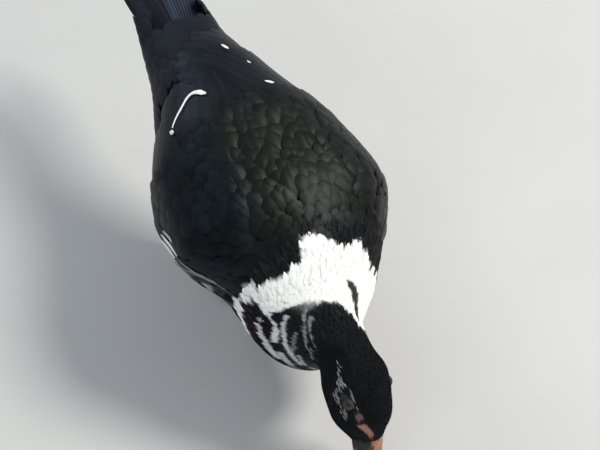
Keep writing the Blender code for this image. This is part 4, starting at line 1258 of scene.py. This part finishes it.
t = np.concatenate([np.linspace(1.45, 9.4, 120), np.linspace(9.4, 12.0, 91)[1:]])
a = np.linspace(-math.pi, math.pi, NA, endpoint=False)
tg, ag = np.meshgrid(t, a, indexing="ij")
rings = body_point(tg, ag, -skin_depth(tg, ag))
closing = np.sqrt(np.clip((t - 1.43) / 0.60, 0.02, 1))[:, None, None]
rings = line_at(t)[0][:, None] * (1 - closing) + rings * closing
tint, _ = plumage_colour(tg, ag)
bare_here = bare(tg, ag)[..., None]
FACE_SKIN = srgb(44, 41, 40)
tint = tint * (1 - bare_here) + FACE_SKIN * bare_here
for share, flesh_tint in zip(lore(tg, ag), (srgb(126, 84, 80), srgb(178, 120, 104))):
    tint = tint * (1 - share[..., None]) + flesh_tint * share[..., None]
c_, ahead_, back_, *_ = line_at(12.0)
middle = rings[-1].mean(0)
cap = [middle + ahead_[0] * reach + (rings[-1] - middle) * share for share, reach in ((0.93, 0.12), (0.78, 0.24), (0.55, 0.34), (0.25, 0.40))]
rings = np.concatenate([rings, cap])
tint = np.concatenate([tint, np.repeat(tint[-1:], 4, axis=0)])
v, f = loft_arrays(rings, flip=True)
skin.add(v, f, np.concatenate([tint.reshape(-1, 3), tint[0, :1], tint[-1, :1]]))

# ---- eyelids and the bare ring round each eye
for sign, (middle, out, ahead, up) in EYES.items():
    theta = np.linspace(0, 2 * math.pi, 96, endpoint=False)
    c, s = np.cos(theta), np.sin(theta)
    # The opening is an almond, longer towards the bill and back.
    a1, b1 = 0.52, 0.34
    turned = theta - 20 * DEG
    edge = (np.abs(np.cos(turned) / a1) ** 2.0 + np.abs(np.sin(turned) / b1) ** 2.0) ** -0.5
    edge = edge * (1 + 0.05 * np.cos(2 * turned))
    # Steps out from the opening: distance past its edge, height over the eyeball's own surface or the face.
    profile = [(-0.035, -0.03), (-0.015, 0.03), (0.02, 0.062), (0.06, 0.070), (0.10, 0.050), (0.135, 0.020), (0.165, 0.018),
               (0.20, 0.040), (0.25, 0.055), (0.30, 0.040), (0.34, 0.022), (0.38, 0.030), (0.44, 0.034), (0.52, 0.02), (0.62, 0.0), (0.74, -0.03)]
    rings, colours = [], []
    for k, (far, high) in enumerate(profile):
        r = edge + far
        x, y = r * c, r * s
        ball = np.sqrt(np.clip((EYE_RADIUS + 0.005) ** 2 - np.minimum(r, 0.55) ** 2, 0.0, None)) - np.clip(r - 0.55, 0, None) * 0.55
        lid = middle + x[:, None] * ahead + y[:, None] * up + (ball + high)[:, None] * out
        # The face's own surface under the same place.
        h = 1e-3
        pt = (body_point(EYE_T + h, sign * EYE_ANGLE) - body_point(EYE_T - h, sign * EYE_ANGLE)) / (2 * h)
        pa = (body_point(EYE_T, sign * EYE_ANGLE + h) - body_point(EYE_T, sign * EYE_ANGLE - h)) / (2 * h)
        d = x[:, None] * ahead + y[:, None] * up
        g11, g12, g22 = pt @ pt, pt @ pa, pa @ pa
        d1, d2 = d @ pt, d @ pa
        det = g11 * g22 - g12**2
        face = body_point(EYE_T + (d1 * g22 - d2 * g12) / det, sign * EYE_ANGLE + (d2 * g11 - d1 * g12) / det, -0.10 + high)
        w = smooth(np.full(len(theta), far), 0.10, 0.46)[:, None]
        rings.append(lid * (1 - w) + face * w)
        ridge = math.exp(-((far - 0.05) / 0.06) ** 2) + 0.6 * math.exp(-((far - 0.25) / 0.07) ** 2)
        pale = srgb(66, 61, 57) * min(ridge, 1) + srgb(38, 35, 33) * (1 - min(ridge, 1))
        rim = srgb(26, 22, 24)
        colours.append(np.broadcast_to(rim if far < 0.01 else pale, (96, 3)))
    rings = np.array(rings)
    back = rings[::-1] - out * 0.20
    shell_rings = np.concatenate([rings, back])
    n = len(shell_rings)
    verts = shell_rings.reshape(-1, 3)
    quads = np.concatenate([grid_faces(n, 96, True), np.stack([
        (n - 1) * 96 + np.arange(96), np.arange(96), (np.arange(96) + 1) % 96, (n - 1) * 96 + (np.arange(96) + 1) % 96], -1)])
    quads = quads if sign < 0 else quads[:, ::-1]
    colour = np.concatenate([np.array(colours), np.array(colours)[::-1]]).reshape(-1, 3)
    skin.add(verts, [quads], colour)

skin.make("skin", M_SKIN, slot="dark_skin", sharp=75,
          replaces=["trunk", "neck", "head"] + [f"{p}_{s}" for s in SIDE for p in ("thigh", "shank", "foot")])

# ---- thigh feathers
build = Build()
SHORT = template(5, 7, root=0.4, wide=0.5, tip=0.6, round_=0.35, ragged=0.12, seed=8)
for side, (path, thick) in thigh_lines.items():
    def point(p, q, out=0.0, path=path, thick=thick):
        p, q, out = np.broadcast_arrays(np.asarray(p, float), np.asarray(q, float), np.asarray(out, float))
        x = np.clip(p, 0, 1.08) * (len(path) - 1)
        c = np.stack([natural_spline(path[:, k], x) for k in range(3)], -1)
        d = unit(np.stack([natural_spline(path[:, k], x + 0.01) - natural_spline(path[:, k], x - 0.01) for k in range(3)], -1))
        r = natural_spline(thick, np.clip(x, 0, len(path) - 1)) + out
        side_ = unit(np.cross(d, (0, -1, 0)))
        over = np.cross(side_, d)
        return c + r[..., None] * (np.cos(q)[..., None] * side_ + np.sin(q)[..., None] * over)

    surface = Surface(point, 1, 1)
    e = surface.frame(np.array([0.5]), np.array([0.0]))
    outward = point(0.5, 0.0, 1.0) - point(0.5, 0.0, 0.0)
    if (np.cross(e[2][0], e[3][0]) @ outward) < 0:
        surface.turn = -1
    p_list, q_list = [], []
    for k, p in enumerate(np.linspace(0.12, 0.97, 15)):
        r = np.interp(p, np.linspace(0, 1, 26), thick)
        n = max(8, int(2 * math.pi * r / 0.62))
        q_list.append((np.arange(n) + 0.5 * (k % 2)) * 2 * math.pi / n + rng.uniform(-0.1, 0.1, n))
        p_list.append(np.full(n, p) + rng.uniform(-0.01, 0.01, n))
    p, q = np.concatenate(p_list), np.concatenate(q_list)
    size = np.interp(p, (0, 1), (1.2, 0.55))
    points, vp, vq = lay(surface, SHORT, p, q, 1.7 * size, 0.95 * size, rng.normal(0, 0.12, len(p)), root=-0.28, tip=0.0, camber=0.05)
    each = rng.uniform(-1, 1, len(p))
    colour = BLACK * 0.8 * (1 + 0.25 * each)[:, None, None] * np.ones((*vp.shape, 1))
    add_feathers(build, SHORT, points, colour, 0 * vp, 0.02 + 0.46 * p + (0.5 if side == "left" else 0), 0.02 + 0.96 * ((q / (2 * math.pi)) % 1), each)
build.make("thigh_feathers", M_SOFT, uv=True, slot="black_plumage")

# ================================================================ eyes
for side, sign in (("left", 1), ("right", -1)):
    middle, out, ahead, up = EYES[sign]
    polar = np.concatenate([np.linspace(0, 1.25, 60), np.linspace(1.25, math.pi, 20)[1:]])[1:-1]
    theta = np.linspace(0, 2 * math.pi, 72, endpoint=False)
    pol, th = np.meshgrid(polar, theta, indexing="ij")
    bulge = 0.035 * (1 - smooth(pol, 0.15, 0.85))
    r = EYE_RADIUS + bulge
    d = (np.sin(pol) * np.cos(th))[..., None] * ahead + (np.sin(pol) * np.sin(th))[..., None] * up + np.cos(pol)[..., None] * out
    rings = middle + d * r[..., None]
    flat = pol
    iris = srgb(46, 32, 20)
    streak = 0.75 + 0.35 * noise(th * 9, pol * 5, 2)
    colour = iris * streak[..., None]
    ring_dark = smooth(flat, 0.62, 0.74)[..., None]
    colour = colour * (1 - ring_dark) + srgb(20, 14, 12) * ring_dark
    pupil = (1 - smooth(flat, 0.36, 0.40))[..., None]
    colour = colour * (1 - pupil) + srgb(4, 4, 5) * pupil
    v, f = loft_arrays(rings, flip=sign > 0)
    b = Build()
    b.add(v, f, np.concatenate([colour.reshape(-1, 3), [srgb(4, 4, 5)], [srgb(20, 14, 12)]]))
    m, nt, shader = new_material(f"eye_surface_{side}")
    at = node(nt, "ShaderNodeAttribute", attribute_name="Col")
    tex = node(nt, "ShaderNodeTexNoise", Scale=1800.0, Detail=3.0)
    geo = node(nt, "ShaderNodeTexCoord")
    nt.links.new(geo.outputs["Object"], tex.inputs["Vector"])
    shade = mix(nt, 0.35, at.outputs["Color"], mix(nt, 1.0, at.outputs["Color"], tex.outputs["Color"], "MULTIPLY"))
    nt.links.new(shade, shader.inputs["Base Color"])
    shader.inputs["Roughness"].default_value = 0.12
    shader.inputs["Specular IOR Level"].default_value = 0.35
    shader.inputs["Coat Weight"].default_value = 0.5
    shader.inputs["Coat Roughness"].default_value = 0.04
    b.make(f"eyeball_{side}", m, slot="eye", replaces=(f"eye_{side}",), sharp=80)

# ================================================================ bill
BILL_LENGTH = 6.05
BILL_TURN = -0.10
bill_c, bill_ahead, bill_back = (v[0] for v in line_at(AT["bill_root"])[:3])
bill_side = np.array((1.0, 0.0, 0.0))
bill_ahead = bill_ahead + bill_side * BILL_TURN
bill_ahead /= np.linalg.norm(bill_ahead)
bill_side -= bill_ahead * (bill_side @ bill_ahead)
bill_side /= np.linalg.norm(bill_side)
bill_side, bill_back = (
    bill_side * math.cos(HEAD_ROLL) - bill_back * math.sin(HEAD_ROLL),
    bill_back * math.cos(HEAD_ROLL) + bill_side * math.sin(HEAD_ROLL),
)
BILL = np.array([
    (1.44, 1.32, 0.70), (1.46, 1.16, 0.64), (1.43, 0.90, 0.56), (1.37, 0.68, 0.46),
    (1.32, 0.55, 0.38), (1.27, 0.47, 0.32), (1.05, 0.40, 0.26), (0.55, 0.27, 0.16),
])


def bill_piece(upper):
    k = np.linspace(0, len(BILL) - 1, 150)
    w, top, low = (steady_spline(BILL[:, i], k) for i in range(3))
    at = -0.5 + (BILL_LENGTH + 0.5) * k / k[-1]
    s = np.linspace(0, math.pi, 61)
    x = w[:, None] * np.cos(s)[None, :] * (1.0 if upper else 0.93)
    if upper:
        y = top[:, None] * np.sin(s)[None, :] ** 0.8 + GAP / 2
        # Flattened saddle in front of the forehead, a rolled edge, nostrils and the nail.
        off = 0.035 * np.exp(-((s / 0.16) ** 2)) + 0.035 * np.exp(-(((math.pi - s) / 0.16) ** 2))
        x = x * (1 + off[None, :] * smooth(at, 1.0, 2.0)[:, None])
        for side in (-1, 1):
            dx = (at[:, None] - 2.05) / 0.34
            dy = (x - side * 0.56) / 0.15
            pit = np.exp(-(dx**2 + dy**2) ** 2)
            rim = np.exp(-((np.hypot(dx, dy) - 1.25) / 0.35) ** 2)
            y = y - 0.20 * pit * np.sin(s)[None, :] + 0.030 * rim * np.sin(s)[None, :]
        nail = smooth(at, 5.12, 5.3)[:, None] * (1 - smooth(np.abs(x) / (0.50 * (1 - 0.10 * (at[:, None] - 5.3))), 0.85, 1.0))
        y = y + 0.045 * nail
        ridge = np.exp(-((x / 0.22) ** 2)) * (1 - smooth(at, 2.6, 4.5))[:, None]
        y = y + 0.05 * ridge
        knob = (1 - smooth(at, 0.9, 1.7))[:, None] * (noise(at[:, None] * 3.0, x * 3.4, 5) * 0.055 + noise(at[:, None] * 6.5, x * 7, 6) * 0.025)
        y = y + knob * np.sin(s)[None, :] ** 0.5
        lamella = 0.012 * np.sin(at[:, None] * 2 * math.pi / 0.13) * (np.exp(-((s / 0.10) ** 2)) + np.exp(-(((math.pi - s) / 0.10) ** 2)))[None, :]
        x = x * (1 + lamella * smooth(at, 1.5, 2.2)[:, None])
        under_y = np.full((150, 21), GAP / 2 + 0.03)
    else:
        y = -low[:, None] * np.sin(s)[None, :] ** 0.8 - GAP / 2
        groove = np.exp(-(((np.abs(x) - 0.62 * w[:, None]) / 0.08) ** 2)) * smooth(at, 0.8, 1.6)[:, None]
        y = y + 0.05 * groove * np.sin(s)[None, :]
        under_y = np.full((150, 21), -GAP / 2 - 0.03)
    inner = np.linspace(-0.9, 0.9, 21)[None, :] * x.max(axis=1)[:, None]
    xx = np.concatenate([x, inner], axis=1)
    yy = np.concatenate([y, under_y], axis=1)
    middle = bill_c + bill_ahead * at[:, None] - bill_back * 0.18
    rings = middle[:, None] + bill_side * xx[..., None] + bill_back * yy[..., None]
    # Colours: flesh and orange, a dark saddle and dark blotches, a pale nail.
    A = at[:, None] * np.ones(xx.shape)
    flesh, orange, dark, horn = srgb(176, 120, 104), srgb(190, 118, 84), srgb(30, 24, 27), srgb(196, 176, 150)
    mottle = noise(A * 1.9, xx * 2.4, 7) + 0.5 * noise(A * 5, xx * 6, 8)
    c = flesh + (orange - flesh) * smooth(noise(A * 1.3, xx * 1.5, 9), -0.4, 0.5)[..., None]
    right_base = smooth(-xx, 0.30, 0.55) * (1 - smooth(A, 1.3, 2.0))
    left_base = smooth(xx, 1.0, 1.15) * (1 - smooth(A, 0.9, 1.6)) * 0.8
    band = np.exp(-((A - 2.6) / 0.85) ** 2) * smooth(mottle, -0.25, 0.35) * 0.95
    spots = smooth(mottle, 0.62, 0.85) * (1 - smooth(A, 4.4, 5.0))
    w_dark = np.clip(np.maximum.reduce([right_base * smooth(mottle, -0.9, -0.3), left_base, band, spots * 0.9]), 0, 1)[..., None]
    c = c * (1 - w_dark) + dark * w_dark
    tip = (smooth(A, 5.12, 5.3) * (1 - smooth(np.abs(xx), 0.42, 0.5)))[..., None]
    c = c * (1 - tip) + horn * tip
    # Painted shade: the nostril pits are darkened nearly to black.
    if upper:
        for side in (-1, 1):
            pit = np.exp(-(((A - 2.05) / 0.30) ** 2 + ((xx - side * 0.56) / 0.12) ** 2) ** 2)[..., None]
            c = c * (1 - 0.9 * pit) + srgb(14, 9, 9) * 0.9 * pit
    if not upper:
        c = c * 0.85
    v, f = loft_arrays(rings, flip=upper)
    v[:, 2] = np.maximum(v[:, 2], 0.0)
    c = np.concatenate([c.reshape(-1, 3), [c[0, 0]], [c[-1, 0]]])
    b = Build()
    b.add(v, f, c)
    name = "upper" if upper else "lower"
    b.make(f"bill_{name}_horn", M_BILL, slot="bill_horn", replaces=(f"bill_{name}",), sharp=60)


bill_piece(True)
bill_piece(False)

# ================================================================ white marks on the wing and the flank
marks = Build()


def streak(places, half_widths, lift=0.10, height=upper_height):
    """A thin white vane laid along places (t, degrees) on the body."""
    places = np.asarray(places, float)
    n = 40
    x = np.linspace(0, len(places) - 1, n)
    t = natural_spline(places[:, 0], x)
    a = from_mark(t, natural_spline(places[:, 1], x))
    w = np.interp(x, np.linspace(0, len(places) - 1, len(half_widths)), half_widths)
    base = coat_point(t, a, height(t, a) + lift)
    way = unit(np.gradient(base, axis=0))
    n_out = unit(coat_point(t, a, 1.0) - coat_point(t, a, 0.0))
    side = np.cross(n_out, way)
    s = np.linspace(-1, 1, 5)
    edge = 1 + 0.15 * noise(np.arange(n)[:, None] * 0.9, s[None, :] * 2, 3)
    top = base[:, None] + side[:, None] * (s[None, :] * w[:, None] * edge)[..., None] + n_out[:, None] * (0.03 * (1 - s**2))[None, :, None]
    low = top[:, ::-1] - n_out[:, None] * 0.05
    rings = np.concatenate([top, low], axis=1)
    v, f = loft_arrays(rings)
    fx = np.zeros((len(v), 3))
    fx[:, 2] = 1
    marks.add(v, f, srgb(232, 232, 228), fx)


streak([(3.29, -19.0), (3.22, -22.5), (3.17, -26.5), (3.17, -31), (3.22, -35.5), (3.29, -39.5), (3.35, -43), (3.42, -46.5), (3.50, -49)],
       [0.08, 0.22, 0.16, 0.11, 0.09, 0.08, 0.08, 0.07, 0.06, 0.05, 0.03], lift=0.10)
streak([(3.53, -51.5), (3.60, -48.5)], [0.05, 0.19, 0.21, 0.05], lift=0.10)
streak([(2.48, 15.5), (2.61, 18.5)], [0.03, 0.12, 0.13, 0.03], lift=0.12, height=lambda t, a: wing_height("left", t, a)[0])
streak([(3.40, 23.0), (3.46, 28.5)], [0.03, 0.10, 0.12, 0.03], lift=0.10)
streak([(2.93, 25.0), (2.98, 26.5)], [0.02, 0.06, 0.06, 0.02], lift=0.10, height=lambda t, a: wing_height("left", t, a)[0])
marks.make("white_wing_marks", M_PALE, slot="white_plumage", sharp=60)

# ---- white flank feathers that show under the wing's edge
build = Build()
FLANK = plume(template(9, 7, root=0.35, wide=0.45, tip=0.45, round_=0.12, thick=0.04), 9, 13, reach=0.14, thin=0.09)
# Root, middle and tip of each: place along the body, then degrees; its width and paleness.
FLANK_FEATHERS = (
    ((5.02, 4.78, 4.54), (-94, -95, -100), 0.50, 0.88), ((5.06, 4.84, 4.64), (-90, -89, -91), 0.42, 0.90), ((4.92, 4.78, 4.66), (-85, -84, -85), 0.30, 0.62),
    ((5.00, 4.74, 4.52), (-99, -101, -104), 0.36, 0.6), ((6.10, 5.62, 5.12), (-86, -90, -95), 0.20, 0.40), ((6.08, 5.64, 5.18), (-86.5, -89, -88.5), 0.18, 0.38),
    ((5.75, 5.50, 5.28), (-87, -90, -94), 0.22, 0.34), ((5.95, 5.72, 5.50), (-87, -88, -91), 0.20, 0.36),
)
path_t = np.array([f[0] for f in FLANK_FEATHERS], float)
path_a = from_mark(path_t, np.array([f[1] for f in FLANK_FEATHERS], float))
high = upper_height(path_t[:, 1], path_a[:, 1])
points, vt, va = lay_long(BODY, FLANK, path_t, path_a, np.array([f[2] for f in FLANK_FEATHERS]), (high - 0.05, high + 0.22), camber=0.05)
colour = np.ones((*vt.shape, 1)) * srgb(236, 234, 230) * np.array([f[3] for f in FLANK_FEATHERS])[:, None, None]
u, v = unwrap(path_t[:, 0], path_a[:, 0])
add_feathers(build, FLANK, points, colour, np.ones(vt.shape), u, v, np.zeros(len(u)))
build.make("white_flank_feathers", M_PALE, uv=True, slot="white_plumage")

# ================================================================ floor and light
bm = bmesh.new()
bmesh.ops.create_grid(bm, x_segments=1, y_segments=1, size=6.0)
mesh = bpy.data.meshes.new("studio_floor")
bm.to_mesh(mesh)
bm.free()
floor = bpy.data.objects.new("studio_floor", mesh)
bpy.context.scene.collection.objects.link(floor)
m, nt, shader = new_material("studio_floor")
tex = node(nt, "ShaderNodeTexNoise", Scale=6.0, Detail=5.0)
geo = node(nt, "ShaderNodeTexCoord")
nt.links.new(geo.outputs["Object"], tex.inputs["Vector"])
nt.links.new(mix(nt, tex.outputs[0], (0.50, 0.495, 0.48), (0.56, 0.555, 0.54)), shader.inputs["Base Color"])
shader.inputs["Roughness"].default_value = 0.9
shader.inputs["Specular IOR Level"].default_value = 0.2
mesh.materials.append(m)

world = bpy.data.worlds.new("studio")
bpy.context.scene.world = world
world.use_nodes = True
background = next(n for n in world.node_tree.nodes if n.type == "BACKGROUND")
background.inputs["Color"].default_value = (0.86, 0.93, 1.0, 1)
background.inputs["Strength"].default_value = 0.55


def area_light(name, place_at, look_at, size, power, colour=(1, 1, 1)):
    data = bpy.data.lights.new(name, "AREA")
    data.shape, data.size, data.energy, data.color = "DISK", size, power, colour
    obj = bpy.data.objects.new(name, data)
    bpy.context.scene.collection.objects.link(obj)
    obj.location = place_at
    obj.rotation_euler = (Vector(look_at) - Vector(place_at)).to_track_quat("-Z", "Y").to_euler()
    return obj


area_light("key", (1.3, -0.5, 2.2), (0, -0.05, 0.12), 0.9, 62, (1.0, 0.97, 0.92))
area_light("fill", (-1.8, -1.6, 1.4), (0, 0, 0.12), 1.6, 10, (0.88, 0.94, 1.0)).visible_glossy = False
area_light("rear", (-0.8, 2.2, 1.7), (0, 0, 0.15), 1.2, 14, (0.80, 0.88, 1.0))

view = bpy.context.scene.view_settings
view.view_transform = "Standard"
view.look = "None"
view.exposure = 0.0
view.gamma = 1.0
